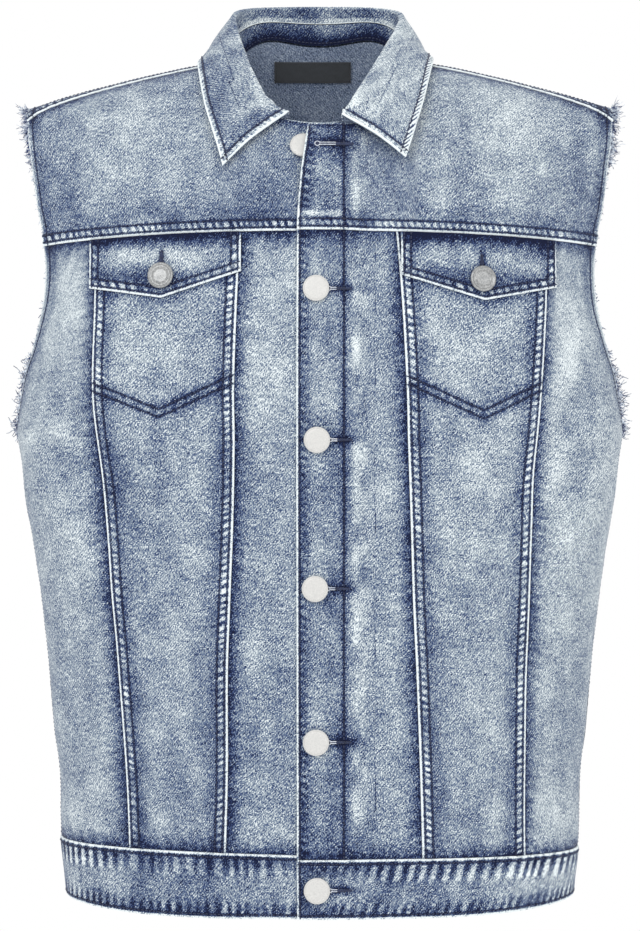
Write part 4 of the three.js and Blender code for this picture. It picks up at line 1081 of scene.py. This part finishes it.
# Faded and dark places: x, z, half width, half height, change of tone
FRONT_PATCHES = [
    (-196, -190, 16, 60, 0.13), (-205, -285, 22, 18, 0.10), (-135, -62, 55, 26, 0.06),
    (-110, -118, 90, 12, -0.12), (-45, -105, 26, 30, -0.16), (-190, -90, 16, 40, -0.10),
    (150, -52, 48, 30, 0.11), (45, -100, 26, 30, -0.08), (118, -118, 70, 12, -0.06),
    (-118, -220, 34, 24, 0.07), (-118, -300, 34, 30, -0.06), (112, -220, 34, 24, 0.08),
    (-130, -300, 16, 60, 0.08), (112, -330, 30, 70, 0.07), (186, -215, 18, 50, 0.16),
    (172, -330, 16, 60, 0.12), (-176, -560, 26, 50, 0.05), (180, -560, 24, 50, 0.05),
    (110, -540, 30, 60, -0.06), (-106, -545, 30, 40, -0.06), (-104, -455, 12, 60, 0.08),
    (-66, -470, 14, 90, -0.06), (-40, -260, 16, 90, 0.08), (-38, -520, 18, 70, -0.06),
    (44, -300, 10, 150, 0.05), (44, -540, 12, 70, -0.05), (-206, -120, 12, 60, -0.08),
    (206, -130, 10, 60, -0.04), (4, -200, 17, 70, 0.05), (4, -460, 17, 150, -0.03),
    (10, -68, 22, 15, -0.17),
]
BACK_PATCHES = [
    (-60, -70, 60, 40, 0.08), (70, -80, 60, 40, 0.07), (0, -230, 40, 80, 0.06), (-150, -220, 40, 60, 0.08),
    (150, -230, 40, 60, 0.09), (-150, -420, 36, 90, 0.03), (150, -410, 36, 90, 0.02),
    (0, -480, 40, 90, -0.03), (-200, -300, 20, 30, 0.10), (200, -300, 20, 30, 0.10),
    (-100, -560, 40, 40, -0.05), (110, -550, 40, 40, -0.05),
]

pieces = {}


def blot(panel, x, z, half_x, half_z, amount):
    return amount * np.exp(-(((panel.x - x) / half_x) ** 2) - ((panel.z - z) / half_z) ** 2)


def washed_and_shaded(panel, side, base):
    """How pale the cloth is, from its fading and from painted light and shade on the folds and creases: 0 is
    dark indigo and 1 is white
    """
    tone = np.full_like(panel.x, base)
    x = panel.x + 12 * cloud(panel.x, panel.z, 30, 71)
    z = panel.z + 14 * cloud(panel.x, panel.z, 34, 72)
    for middle_x, middle_z, half_x, half_z, change in FRONT_PATCHES if side < 0 else BACK_PATCHES:
        tone += 1.3 * change * np.exp(-((x - middle_x) / half_x) ** 2 - ((z - middle_z) / half_z) ** 2)
    # Painted highlight on the raised folds and creases, and painted shade in their hollows
    painted_fold_shading = fold_height(panel.x, panel.z, side) * 0.02 + fold_height(panel.x, panel.z, side, CREASES) * 0.07
    uneven = 0.06 * cloud(panel.x, panel.z * 0.7, 24, 73) + 0.04 * cloud(panel.x, panel.z * 0.35, 10, 74)
    return tone + painted_fold_shading + uneven + 0.03 * cloud(panel.x, panel.z * 0.3, 5, 75)


def bent(panel, side, seed, *seams):
    """Creases and small unevenness of the cloth, calm beside its seams"""
    bend = fold_height(panel.x, panel.z, side, CREASES)
    bend = bend + 0.45 * cloud(panel.x, panel.z, 38, seed) + 0.22 * cloud(panel.x, panel.z, 15, seed + 1)
    return bend * smooth(0, 16, panel.away(*seams))


def lap(distance):
    return LAP_RISE * (1 - smooth(LAP_WIDTH, LAP_WIDTH + 2.5, distance))


def front_off(panel, sign):
    """How far the inner face stands off the body on the front"""
    raised = over_rise(panel.x, panel.z) if sign > 0 else 0
    return fold_height(panel.x, panel.z, -1) + raised


def facing_wall(x, sign):
    """The turned-in facing's extra thickness along the placket"""
    return DOUBLED * (1 - smooth(PLACKET_STITCH_X, PLACKET_STITCH_X + 2, x)) if sign > 0 else 0


def slit_shade(panel, x, z):
    """Dark cloth beside a buttonhole that runs from x to the right"""
    return blot(panel, x + 17, z, 15, 6, -0.24) + blot(panel, x + 18, z, 12, 2.4, -0.45)


def fit_placket(panel, seed):
    """The over front's folded edge and stitched line, with streaks and dark buttonholes beside them"""
    panel.over("u0", seed, ONE_ROW, (3.6, 8.2), pitch=6.4, height=0.22, reach=6)
    panel.strength = panel.strength * np.where(panel.from_u0 < 12, 0.5, 1.0)
    panel.line = panel.x - PLACKET_STITCH_X
    streak = bell(panel.x, 27, 2.6) * wander(panel.z, 13, seed + 2, -0.5, 1.0)
    streak = streak + 0.7 * bell(panel.x, 33, 3.0) * wander(panel.z, 17, seed + 3)
    blotch = bell(panel.x, 8, 5.5) * wander(panel.z, 21, seed + 4, 0, 1)
    panel.paleness = panel.paleness + 0.36 * streak - 0.2 * blotch
    panel.pucker = panel.pucker + 0.5 * streak
    for x, z in FRONT_BUTTONS[:5]:
        panel.paleness = panel.paleness + slit_shade(panel, max(x, HOLE_NEAR_X), z)


def dress_front_yoke(name, sign):
    node = f"front_yoke_{name}"
    yoke = Panel(node, front_yoke_point(sign), lines(258, FRONT_PITCH), lines(150, FRONT_PITCH), sign)
    shown = 1.0 if sign > 0 else smooth(-20, -24, yoke.x)
    yoke.over("v0", 20 + sign, height=0.36 * shown)
    yoke.paleness = yoke.paleness + 0.24 * bell(yoke.from_v0, 12.5, 2.6) * wander(yoke.x, 16, 21 + sign, 0.1, 1.0)
    if sign > 0:
        fit_placket(yoke, 24)
        on_placket = 1 - smooth(PLACKET_STITCH_X - 2, PLACKET_STITCH_X + 1, yoke.x)
        pale_bands = 0.5 * bell(yoke.from_v0, 12.6, 2.4) + 0.2 * bell(yoke.from_v0, 5.5, 2.0)
        yoke.paleness = yoke.paleness + on_placket * pale_bands
    yoke.beside("v1", 26 + sign, height=0.16)
    yoke.over("v1", 28 + sign, NO_MARKS, NO_MARKS, np.abs(yoke.x) < OPEN_TOP_X, height=0.1)
    yoke.raw = yoke.from_u1
    wall = WALL + lap(yoke.from_v0) * shown + facing_wall(yoke.x, sign)
    yoke.face(front_off(yoke, sign), wall, bent(yoke, -1, 10 + sign, "v0", "v1"))
    yoke.tone = washed_and_shaded(yoke, -1, 0.585)
    yoke.rounded()
    pieces[node] = yoke


def dress_front_centre(name, sign):
    def x_at(u, z):
        start = read_table(OVER_EDGE, 1, z) if sign > 0 else -UNDER_EDGE_X
        return mix(start, front_seam(name, "inner", z) - GAP / 2, u)

    node = f"front_centre_{name}"
    columns = lines(86, FRONT_PITCH, start_edge=sign > 0)
    centre = Panel(node, lower_point(x_at, -1, sign), columns, lines(472, FRONT_PITCH), sign)
    if sign > 0:
        fit_placket(centre, 30)
    centre.beside("u1 v1 v0", 34 + sign)
    bend = bent(centre, -1, 14 + sign, "u1", "v0", "v1")
    centre.face(front_off(centre, sign), WALL + facing_wall(centre.x, sign), bend)
    centre.tone = washed_and_shaded(centre, -1, 0.59 if sign < 0 else 0.57)
    centre.rounded()
    pieces[node] = centre


def dress_front_middle(name, sign):
    """The pocket panel, which laps over its neighbours"""

    def x_at(u, z):
        return mix(front_seam(name, "inner", z) + GAP / 2, front_seam(name, "outer", z) - GAP / 2, u)

    node = f"front_middle_{name}"
    point_at = lower_point(x_at, -1, sign)
    middle = Panel(node, point_at, lines(112, FRONT_PITCH), lines(472, FRONT_PITCH), sign)
    free = smooth(-150, -196, middle.z)
    middle.over("u0", 44 + sign, height=0.36 * free)
    middle.over("u1", 47 + sign, height=0.36 * free)
    middle.beside("v0", 50 + sign)
    pocket = np.interp(middle.x, *zip(*POCKET_LINES[sign]))
    middle.line = middle.z - pocket + POCKET_ROWS
    middle.line_half = POCKET_ROWS
    ripple = np.sin(2 * math.pi * rope_phase(middle.x, 9, 52 + sign)) * bell(middle.line, 0, 8)
    middle.pucker = middle.pucker + 0.24 * ripple
    # Painted shadow of the pocket flap: the cloth is darkened in a narrow band just below the flap's edge
    below_flap = flap_bottom(np.abs(middle.x), FLAPS[sign]) - middle.z
    middle.paleness = middle.paleness + 0.10 * ripple - 0.24 * bell(np.maximum(below_flap, 0), 0, 5)
    wall = WALL + lap(middle.away("u0", "u1")) * free
    middle.face(front_off(middle, sign), wall, bent(middle, -1, 54 + sign, "u0", "u1", "v0", "v1"))
    middle.tone = washed_and_shaded(middle, -1, 0.58)
    middle.rounded()
    pieces[node] = middle


def dress_front_side(name, sign):
    node = f"front_side_{name}"
    point_at = lower_point(side_panel_x(lambda z: front_seam(name, "outer", z)), -1, sign)
    side = Panel(node, point_at, lines(130, BEND_PITCH), lines(472, FRONT_PITCH), sign)
    below = side.z < UNDERARM_Z - 1
    side.over("u1", 60 + sign, only=below)
    side.beside("u0 v1 v0", 62 + sign)
    side.raw = side.away("u1", only=~below)
    side.face(front_off(side, -1), WALL, bent(side, -1, 68 + sign, "u0", "v0", "v1"))
    side.tone = washed_and_shaded(side, -1, 0.60 if sign < 0 else 0.64)
    pieces[node] = side


def dress_back_yoke():
    yoke = Panel("back_yoke", back_yoke_point, lines(480, BACK_PITCH), lines(190, BACK_PITCH), -1)
    on_shoulder = np.abs(2 * yoke.u - 1) > NECK_SHARE
    yoke.over("v0", 80, height=0.36)
    yoke.over("v1", 82, only=on_shoulder, height=0.25)
    yoke.beside("v1", 84, only=~on_shoulder)
    yoke.raw = yoke.away("u0", "u1")
    lap_shade = on_shoulder * (1 - smooth(9, 15, yoke.from_v1)) * smooth(1.5, 2.5, yoke.from_v1)
    yoke.paleness = yoke.paleness - 0.2 * lap_shade
    wall = WALL + np.maximum(lap(yoke.from_v0), lap(yoke.from_v1) * on_shoulder)
    yoke.face(fold_height(yoke.x, yoke.z, 1), wall, bent(yoke, 1, 86, "v0", "v1"))
    yoke.tone = washed_and_shaded(yoke, 1, 0.60)
    yoke.rounded()
    pieces["back_yoke"] = yoke


def back_seam(z):
    return read_table(BACK_SEAMS, 1, z)


def dress_back_centre():
    """The back's middle panel, which laps over the sides"""

    def x_at(u, z):
        half = back_seam(z) - GAP / 2
        return mix(-half, half, u)

    centre = Panel("back_centre", lower_point(x_at, 1, 1), lines(176, BACK_PITCH), lines(466, BACK_PITCH), -1)
    centre.over("u0 u1", 90, height=0.36)
    centre.beside("v0 v1", 94)
    wall = WALL + lap(centre.away("u0", "u1"))
    centre.face(fold_height(centre.x, centre.z, 1), wall, bent(centre, 1, 98, "u0", "u1", "v0", "v1"))
    centre.tone = washed_and_shaded(centre, 1, 0.58)
    centre.rounded()
    pieces["back_centre"] = centre


def dress_back_side(name, sign):
    node = f"back_side_{name}"
    point_at = lower_point(side_panel_x(back_seam), 1, sign)
    side = Panel(node, point_at, lines(190, BACK_PITCH), lines(466, BACK_PITCH), -sign)
    below = side.z < UNDERARM_Z - 1
    side.beside("u0 v1 v0", 102 + sign)
    side.beside("u1", 108 + sign, only=below)
    side.raw = side.away("u1", only=~below)
    side.face(fold_height(side.x, side.z, 1), WALL, bent(side, 1, 110 + sign, "u0", "v0", "v1"))
    side.tone = washed_and_shaded(side, 1, 0.60)
    pieces[node] = side


def dress_waistband():
    band = Panel("waistband", band_point, lines(1050, BEND_PITCH), lines(46, 2.2), -1)
    run = band.runs["v"] = band.from_u0
    over_end = (band.u > 0.5) & (band.base[..., 1] < 0)
    rows = (BAND_ROW, NO_EDGE)
    band.over("v0", 120, rows, (3.6, 12), pitch=7.2, height=0.45, reach=14, slant=0.0)
    band.over("v1", 122, rows, (4.6, 17), pitch=9.2, height=0.55, reach=17, slant=0.06)
    band.over("u1", 124, ONE_ROW, NO_MARKS, height=0.1)
    band.strength = band.strength * np.where(band.from_v0 < band.from_v1, 0.6, 0.8)
    rise = np.where(over_end, OVER_BAND_RISE * (1 - smooth(18, 62, band.x)), 0)
    band.face(rise, BAND_WALL, 0.3 * np.sin(math.pi * band.v) + 0.25 * cloud(run, band.z, 22, 126))
    blotches = 0.14 * cloud(run, band.z * 0.6, 19, 127) + 0.09 * cloud(run, band.z, 9, 128)
    band.tone = 0.49 + blotches + 0.08 * smooth(20, 120, band.x)
    band.paleness = band.paleness + slit_shade(band, *FRONT_BUTTONS[5]) * over_end
    band.rounded(0.7, 1.6)
    pieces["waistband"] = band


def dress_collar_stand():
    stand = Panel("collar_stand", stand_point, lines(430, 3.0), lines(22, 2.4), 1)
    stand.gather(stand.from_v0, stand.from_u0, 130, pitch=7, height=0.3, reach=9)
    stand.under = stand.from_v0
    stand.line = stand.from_v0 - STAND_ROW
    stand.face(np.full_like(stand.x, GAP), COLLAR_WALL)
    stand.tone = 0.36 + 0.14 * cloud(stand.from_u0, stand.from_v0, 15, 132)
    pieces["collar_stand"] = stand


def dress_collar_leaf():
    leaf = Panel("collar_leaf", leaf_point, lines(470, 2.4), lines(62, 2.0), 1)
    u_run, v_run = leaf.from_u0, leaf.from_v0
    leaf.runs = {"u": v_run, "v": u_run}
    leaf.over("v1 u0 u1", 134, (LEAF_ROW, NO_EDGE), (1.0, 6.2), pitch=5.0, height=0.42, reach=9, slant=0.0)
    leaf.over("v0", 140, NO_MARKS, NO_MARKS, start=0.9, height=0.1)
    bend = 0.5 * cloud(u_run, v_run, 26, 142) * smooth(0, 14, leaf.from_v1)
    leaf.face(np.full_like(leaf.x, GAP), COLLAR_WALL, bend)
    on_leaf = smooth(0.3, 0.44, leaf.v)
    streaks = 0.12 * cloud(u_run, v_run * 0.5, 11, 144) + 0.08 * cloud(u_run * 0.5, v_run, 6, 145)
    leaf.tone = mix(0.40, mix(0.55, 0.71, smooth(-10, 10, leaf.x)), on_leaf) + streaks
    ladder = (leaf.edge == leaf.from_v1) * (leaf.x > 40)
    leaf.paleness = leaf.paleness + 0.14 * bell(leaf.v, 0.42, 0.04)
    leaf.paleness = leaf.paleness + np.where(ladder, -0.1, 0.3) * (1 - smooth(4.2, 5.2, leaf.edge))
    leaf.paleness = leaf.paleness + 0.22 * bell(leaf.edge, 9.5, 3.5) * on_leaf
    leaf.strength = np.where(ladder, 2.4, leaf.strength * 0.7)
    leaf.rounded(0.6, 1.6)
    pieces["collar_leaf"] = leaf


def dress_pocket_flap(name, sign):
    outline = FLAPS[sign]

    def point_at(u, v):
        x = mix(outline[0], outline[1], u)
        return body_point(sign * x, mix(flap_bottom(x, outline), front_yoke_z(x) - 0.5, v), -1)

    node = f"pocket_flap_{name}"
    flap = Panel(node, point_at, lines(120, 2.2), lines(44, 2.0), sign)
    flap.over("v0 u0 u1", 150 + sign, FLAP_ROWS, (3.0, 6.9), pitch=7.0, height=0.36, reach=10)
    flap.beside("v1", 156 + sign)
    bend = 0.6 * cloud(flap.x, flap.z, 17, 158 + sign) + 0.5 * np.sin(math.pi * flap.u) * flap.v
    low = WALL + FLAP_CLEAR + fold_height(flap.x, flap.z, -1)
    flap.face(low, FLAP_WALL, bend * smooth(0, 10, flap.away("v0", "u0", "u1")))
    x, z = FLAP_BUTTONS[sign]
    blotches = 0.13 * cloud(flap.x, flap.z, 15, 160 + sign) + blot(flap, x, z + 14, 50, 9, 0.26)
    flap.tone = (0.53 if sign < 0 else 0.44) + blotches
    # Painted shade around the flap button and along the slit of its buttonhole
    dark = blot(flap, x, z, 16, 12, -0.2) + blot(flap, x, z + 12, 5, 12, -0.2)
    dark = dark + blot(flap, x, z + 14, 2.2, 8, -0.5)
    flap.paleness = flap.paleness + dark - 0.3 * bell(flap.from_v1, 0, 7 + 3 * wander(flap.x, 9, 162))
    flap.rounded(0.7, 1.6)
    pieces[node] = flap


for name, sign in SIDES:
    dress_front_yoke(name, sign)
    dress_front_centre(name, sign)
    dress_front_middle(name, sign)
    dress_front_side(name, sign)
dress_back_yoke()
dress_back_centre()
for name, sign in SIDES:
    dress_back_side(name, sign)
dress_waistband()
dress_collar_stand()
dress_collar_leaf()
for name, sign in SIDES:
    dress_pocket_flap(name, sign)
objects = {node: panel.build(DENIM) for node, panel in pieces.items()}

# Rows of stitching
front_thread = Thread("stitches_front")
back_thread = Thread("stitches_back")
for name, sign in SIDES:
    yoke, middle, side = (pieces[f"front_{part}_{name}"] for part in ("yoke", "middle", "side"))
    flap, back_side = pieces[f"pocket_flap_{name}"], pieces[f"back_side_{name}"]
    front_thread.sew_edges(yoke, "v0", DOUBLE_ROWS, lambda p, sign=sign: sign > 0 or p[0] < OVER_HIDES_X)
    front_thread.sew_edges(yoke, "u1", [ARMHOLE_ROW])
    front_thread.sew_edges(middle, "u0 u1", DOUBLE_ROWS, lambda p: p[2] < FLAP_HIDES_Z)
    for level in (-POCKET_ROWS, POCKET_ROWS):
        front_thread.sew(middle.row(middle.line, level, "u"))
    front_thread.sew(side.row(side.raw, ARMHOLE_ROW, "v", lambda p: p[2] > UNDERARM_Z))
    front_thread.sew_edges(side, "u1", DOUBLE_ROWS, lambda p: p[2] < UNDERARM_Z)
    front_thread.sew_edges(flap, "v0 u0 u1", FLAP_ROWS)
    back_thread.sew(back_side.row(back_side.raw, ARMHOLE_ROW, "v", lambda p: p[2] > UNDERARM_Z))
for panel in (pieces["front_yoke_right"], pieces["front_centre_right"]):
    front_thread.sew(panel.row(panel.line, 0, "v"))
    front_thread.sew_edges(panel, "u0", ONE_ROW[:1])
back_thread.sew_edges(pieces["back_yoke"], "v0", DOUBLE_ROWS)
back_thread.sew_edges(pieces["back_yoke"], "v1", DOUBLE_ROWS, lambda p: p[0] > HPS_X)
back_thread.sew_edges(pieces["back_yoke"], "v1", DOUBLE_ROWS, lambda p: p[0] < -HPS_X)
back_thread.sew_edges(pieces["back_yoke"], "u0 u1", [ARMHOLE_ROW])
back_thread.sew_edges(pieces["back_centre"], "u0 u1", DOUBLE_ROWS)
front_thread.sew_edges(pieces["waistband"], "v0 v1", [BAND_ROW])
front_thread.sew_edges(pieces["waistband"], "u1", ONE_ROW[:1])
front_thread.sew_edges(pieces["collar_leaf"], "v1 u0 u1", [LEAF_ROW], fill=0.9, radius=0.62)
front_thread.sew_edges(pieces["collar_stand"], "v0", [STAND_ROW])


# Buttons: radius and height at each turn of their outline
FRONT_PROFILE = [
    (0, 0), (3.4, 0), (3.4, 1.2), (8.8, 1.35), (9.8, 1.9), (10, 2.7), (9.85, 3.4), (9.4, 3.85), (9.1, 3.9),
    (8.9, 3.7), (8.7, 3.7), (8.5, 3.9), (7.5, 4.0), (4.5, 4.05), (2.2, 4.05), (0, 4.05),
]
FLAP_PROFILE = [
    (0, 0), (3.4, 0), (3.4, 1.2), (8.6, 1.35), (9.7, 1.9), (10, 2.6), (9.8, 3.3), (9.2, 3.75), (8.6, 3.85),
    (8.1, 3.55), (7.7, 3.2), (6.9, 3.15), (6.4, 3.4), (5.7, 3.65), (5.2, 3.4), (4.6, 3.3), (2.4, 3.55),
    (0, 3.65),
]
BUTTON_SIDES = 56
SHARP_CENTRE = 0.02


def surface_frame(x, z, height):
    """A place over the front's body, with its directions across, up and out"""
    across = unit(body_point(x + 1, z, -1) - body_point(x - 1, z, -1))
    up = unit(body_point(x, z + 1, -1) - body_point(x, z - 1, -1))
    out = unit(np.cross(across, up))
    return body_point(x, z, -1) + out * height, across, unit(np.cross(out, across)), out


def front_height(k):
    """How far the cloth under a front button stands off the body"""
    x, z = FRONT_BUTTONS[k]
    if k == 0:
        return WALL + fold_height(x, z, -1)
    if k == 5:
        return OVER_BAND_RISE + BAND_WALL
    return over_rise(x, z) + WALL + DOUBLED + fold_height(x, z, -1)


def flap_height(sign):
    return WALL + FLAP_CLEAR + FLAP_WALL + fold_height(*FLAP_BUTTONS[sign], -1) + FLAP_SWELL


def build_button(node, frame, profile, material):
    centre, across, up, out = frame
    turns = np.linspace(0, 2 * math.pi, BUTTON_SIDES, endpoint=False)
    ring = np.cos(turns)[:, None] * across + np.sin(turns)[:, None] * up
    points = np.concatenate([centre + ring * max(r, SHARP_CENTRE) + out * h for r, h in profile])
    faces = tube_faces(len(profile), BUTTON_SIDES)
    objects[node] = make_object(f"dressed_{node}", points, faces, material, sharp=40)


for k, (x, z) in enumerate(FRONT_BUTTONS):
    build_button(f"front_button_{k + 1}", surface_frame(x, z, front_height(k) + GAP), FRONT_PROFILE, SILVER)
for name, sign in SIDES:
    frame = surface_frame(*FLAP_BUTTONS[sign], flap_height(sign) + GAP)
    build_button(f"flap_button_{name}", frame, FLAP_PROFILE, WORN_METAL)

# Buttonholes
TOP_HOLE = (4, -71)
HOLE_STITCH = 0.8
EYE_STITCHES = 11
EYE_GAP = 0.45
pale_thread = Thread("stitches_pale")


def buttonhole(frame, start, end, half, upright=False):
    """Close crosswise stitches over a slit that narrows to its end"""
    centre, along, across, out = frame
    if upright:
        along, across = across, along
    count = int((end - start) / HOLE_STITCH)
    for k in range(count + 1):
        share = k / count
        spot = centre + along * mix(start, end, share) + across * 0.16 * math.sin(k * 2.9) + out * 0.7
        front_thread.stitch(spot, across, out, 2 * half * (1 - 0.55 * share), 0.6)


def eye(frame, start, end, radius, half):
    """A keyhole outline: a ring at its start and two lines from it to its end"""
    centre, along, across, out = frame
    centre = centre + out * 1.1
    for turn in np.linspace(EYE_GAP, 2 * math.pi - EYE_GAP, EYE_STITCHES):
        spot = along * (start + radius * math.cos(turn)) + across * radius * math.sin(turn)
        pale_thread.stitch(centre + spot, across * math.cos(turn) - along * math.sin(turn), out, 1.1, 0.4)
    for side in (-half, half):
        for k in range(int(end - start - radius)):
            spot = along * (start + radius + k + 0.5) + across * side
            pale_thread.stitch(centre + spot, along, out, 1.2, 0.4)


frame = surface_frame(*TOP_HOLE, over_rise(*TOP_HOLE) + WALL + DOUBLED)
buttonhole(frame, -7, 21, half=1.9)
eye(frame, -6, 8, radius=1.9, half=0.9)
for k in range(1, len(FRONT_BUTTONS)):
    frame = surface_frame(*FRONT_BUTTONS[k], front_height(k))
    buttonhole(frame, 3, 26, half=1.6)
    eye(frame, 10, 16, radius=1.3, half=0.7)
for name, sign in SIDES:
    frame = surface_frame(*FLAP_BUTTONS[sign], flap_height(sign) - FLAP_SWELL)
    buttonhole(frame, 3, 19, half=2.2, upright=True)

objects["stitches_front"] = front_thread.build(NAVY_THREAD)
objects["stitches_back"] = back_thread.build(NAVY_THREAD)
objects["stitches_pale"] = pale_thread.build(FADED_THREAD)


# Neck label, on the inner face of the back yoke
def label_point(u, v):
    return back_point_at(LABEL_X + (u - 0.5) * LABEL_WIDTH, LABEL_Z + (v - 0.5) * LABEL_HEIGHT)


label = Panel("neck_label", label_point, lines(LABEL_WIDTH, 1.2), lines(LABEL_HEIGHT, 0.9), -1)
label.high = np.full_like(label.x, -LABEL_CLEAR)
label.low = label.high - LABEL_WALL - 0.12 * cloud(label.x, label.z, 7, 140)
objects["neck_label"] = label.build(LABEL)
label_thread = Thread("stitches_label")
label.outer, label.normal = label.inner, -label.normal
label_thread.sew_edges(label, "u0 u1", [1.6], pitch=2.0, radius=0.24, sink=0.05)
label_thread.sew_edges(label, "v0 v1", [1.4], pitch=2.0, radius=0.2, sink=0.05)
objects["stitches_label"] = label_thread.build(LABEL_THREAD)

# Frayed armholes: fine curved strands from the raw edge
STRANDS = 1700
STRAND_STEPS = 6
STRAND_SIDES = 3
STRAND_RADIUS = 0.5


def armhole_edge(name, sign):
    """Points along the raw edge with the directions away from the cloth and off it, from front to back"""
    yoke, side, back_side = (pieces[f"{part}_{name}"] for part in ("front_yoke", "front_side", "back_side"))
    rows, back_rows = (np.nonzero(panel.z[:, -1] >= UNDERARM_Z - 2)[0] for panel in (side, back_side))
    parts = []
    for panel, rows, column, inward in (
        (yoke, slice(None, None, -1), -1, -4), (side, rows[::-1], -1, -4), (back_side, back_rows, -1, -4),
        (pieces["back_yoke"], slice(None), *((-1, -4) if sign > 0 else (0, 3))),
    ):
        middle = (panel.inner + panel.outer)[rows] / 2
        edge = middle[:, column]
        parts.append((edge, unit(edge - middle[:, inward]), panel.normal[rows, column]))
    return [np.concatenate(values) for values in zip(*parts)]


def strand_length(z):
    """Longest at the shoulder and under the arm"""
    return 2.4 + 5.2 * np.maximum(smooth(-95, -60, z), 1 - smooth(-245, -212, z))


def build_fringe(name, sign):
    points, away, normal = armhole_edge(name, sign)
    rng = np.random.default_rng(200 + sign)
    run = np.concatenate([[0], np.cumsum(np.linalg.norm(np.diff(points, axis=0), axis=1))])
    crowd = np.cumsum(strand_length(points[:, 2]) ** 1.4 * np.gradient(run))
    s = np.sort(np.interp(rng.uniform(0, crowd[-1], STRANDS), crowd, run))

    def at(values):
        return np.stack([np.interp(s, run, values[:, k]) for k in range(3)], axis=-1)

    root, out, up = at(points), unit(at(away)), unit(at(normal))
    along = unit(np.cross(up, out))
    tuft = 0.6 + 0.4 * wander(s, 7, 210 + sign, 0, 1)
    length = strand_length(root[:, 2]) * tuft * rng.uniform(0.4, 1.1, STRANDS)
    lean = rng.normal(0, 0.6, STRANDS) + 0.7 * wander(s, 9, 220 + sign)
    tilt = rng.normal(0, 0.35, STRANDS)
    curl_along, curl_up = rng.normal(0, 0.7, (STRANDS, 2)).T
    turns = rng.uniform(1.5, 3.5, STRANDS)
    root = root + up * rng.uniform(-0.6, 0.6, STRANDS)[:, None] - out * 0.8
    rings = []
    for t in np.arange(STRAND_STEPS + 1) / STRAND_STEPS:
        sway = lean * t + curl_along * t * t + 0.28 * np.sin(turns * math.pi * t) * t
        bend = along * sway[:, None] + up * (tilt * t + curl_up * t * t)[:, None]
        centre = root + (out * t + bend * 0.8) * length[:, None]
        for turn in 2 * math.pi * np.arange(STRAND_SIDES) / STRAND_SIDES:
            ring = along * math.cos(turn) + up * math.sin(turn)
            rings.append(centre + ring * STRAND_RADIUS * (1 - 0.4 * t))
    node = f"armhole_fringe_{name}"
    points = np.stack(rings, axis=1).reshape(-1, 3)
    faces = tube_faces(STRAND_STEPS + 1, STRAND_SIDES, STRANDS)
    objects[node] = make_object(f"dressed_{node}", points, faces, FRINGE_YARN)


for name, sign in SIDES:
    build_fringe(name, sign)

# Each dressed piece takes the place of its solid, and everything is one body
for node, obj in objects.items():
    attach(obj, "root")
    if not node.startswith("stitches"):
        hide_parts(node)

# Floor, light and camera, in metres
FLOOR_Z = -1.45
FLOOR_SIZE = 4.0
FLOOR_SIDES = 96
LIGHT_TARGET = np.array([0, 0, -0.3])
CAMERA_PLACE = (0, -2.4, -0.311)
LENS = 170.9

turns = np.linspace(0, 2 * math.pi, FLOOR_SIDES, endpoint=False)
ring = np.stack([np.cos(turns), np.sin(turns), np.zeros_like(turns)], axis=-1)
floor_points = np.concatenate([[[0, 0, 0]], ring * FLOOR_SIZE * 0.5, ring * FLOOR_SIZE]) + [0, 0, FLOOR_Z]
inner_ring = 1 + np.arange(FLOOR_SIDES)
next_ring = np.roll(inner_ring, -1)
floor_tris = np.stack([np.zeros(FLOOR_SIDES, int), inner_ring, next_ring], axis=-1)
floor_quads = np.stack([inner_ring, inner_ring + FLOOR_SIDES, next_ring + FLOOR_SIDES, next_ring], axis=-1)
floor = make_object("floor", floor_points / MM, [floor_tris, floor_quads], floor_material())

scene = bpy.context.scene
scene.view_settings.view_transform = "Standard"
world = bpy.data.worlds.new("studio")
world.use_nodes = True
background = world.node_tree.nodes["Background"]
background.inputs["Color"].default_value = (1, 1, 1, 1)
background.inputs["Strength"].default_value = 1.0
scene.world = world


def area_light(name, place, size, power):
    """A round soft light that faces the vest"""
    data = bpy.data.lights.new(name, "AREA")
    data.shape = "DISK"
    data.size = size
    data.energy = power
    obj = bpy.data.objects.new(name, data)
    obj.location = place
    away = np.array(place) - LIGHT_TARGET
    yaw = math.atan2(away[0], -away[1])
    pitch = math.atan2(math.hypot(away[0], away[1]), away[2])
    obj.rotation_euler = (pitch, 0, yaw)
    scene.collection.objects.link(obj)


area_light("key", (-1.1, -1.9, 0.9), 1.2, 14)
area_light("fill", (1.3, -1.8, 0.1), 1.4, 6)
area_light("back", (0.3, 2.0, 0.9), 1.6, 10)

camera_data = bpy.data.cameras.new("camera")
camera_data.sensor_fit = "HORIZONTAL"
camera_data.sensor_width = 36
camera_data.lens = LENS
camera = bpy.data.objects.new("camera", camera_data)
camera.location = CAMERA_PLACE
camera.rotation_euler = (math.pi / 2, 0, 0)
scene.collection.objects.link(camera)
scene.camera = camera
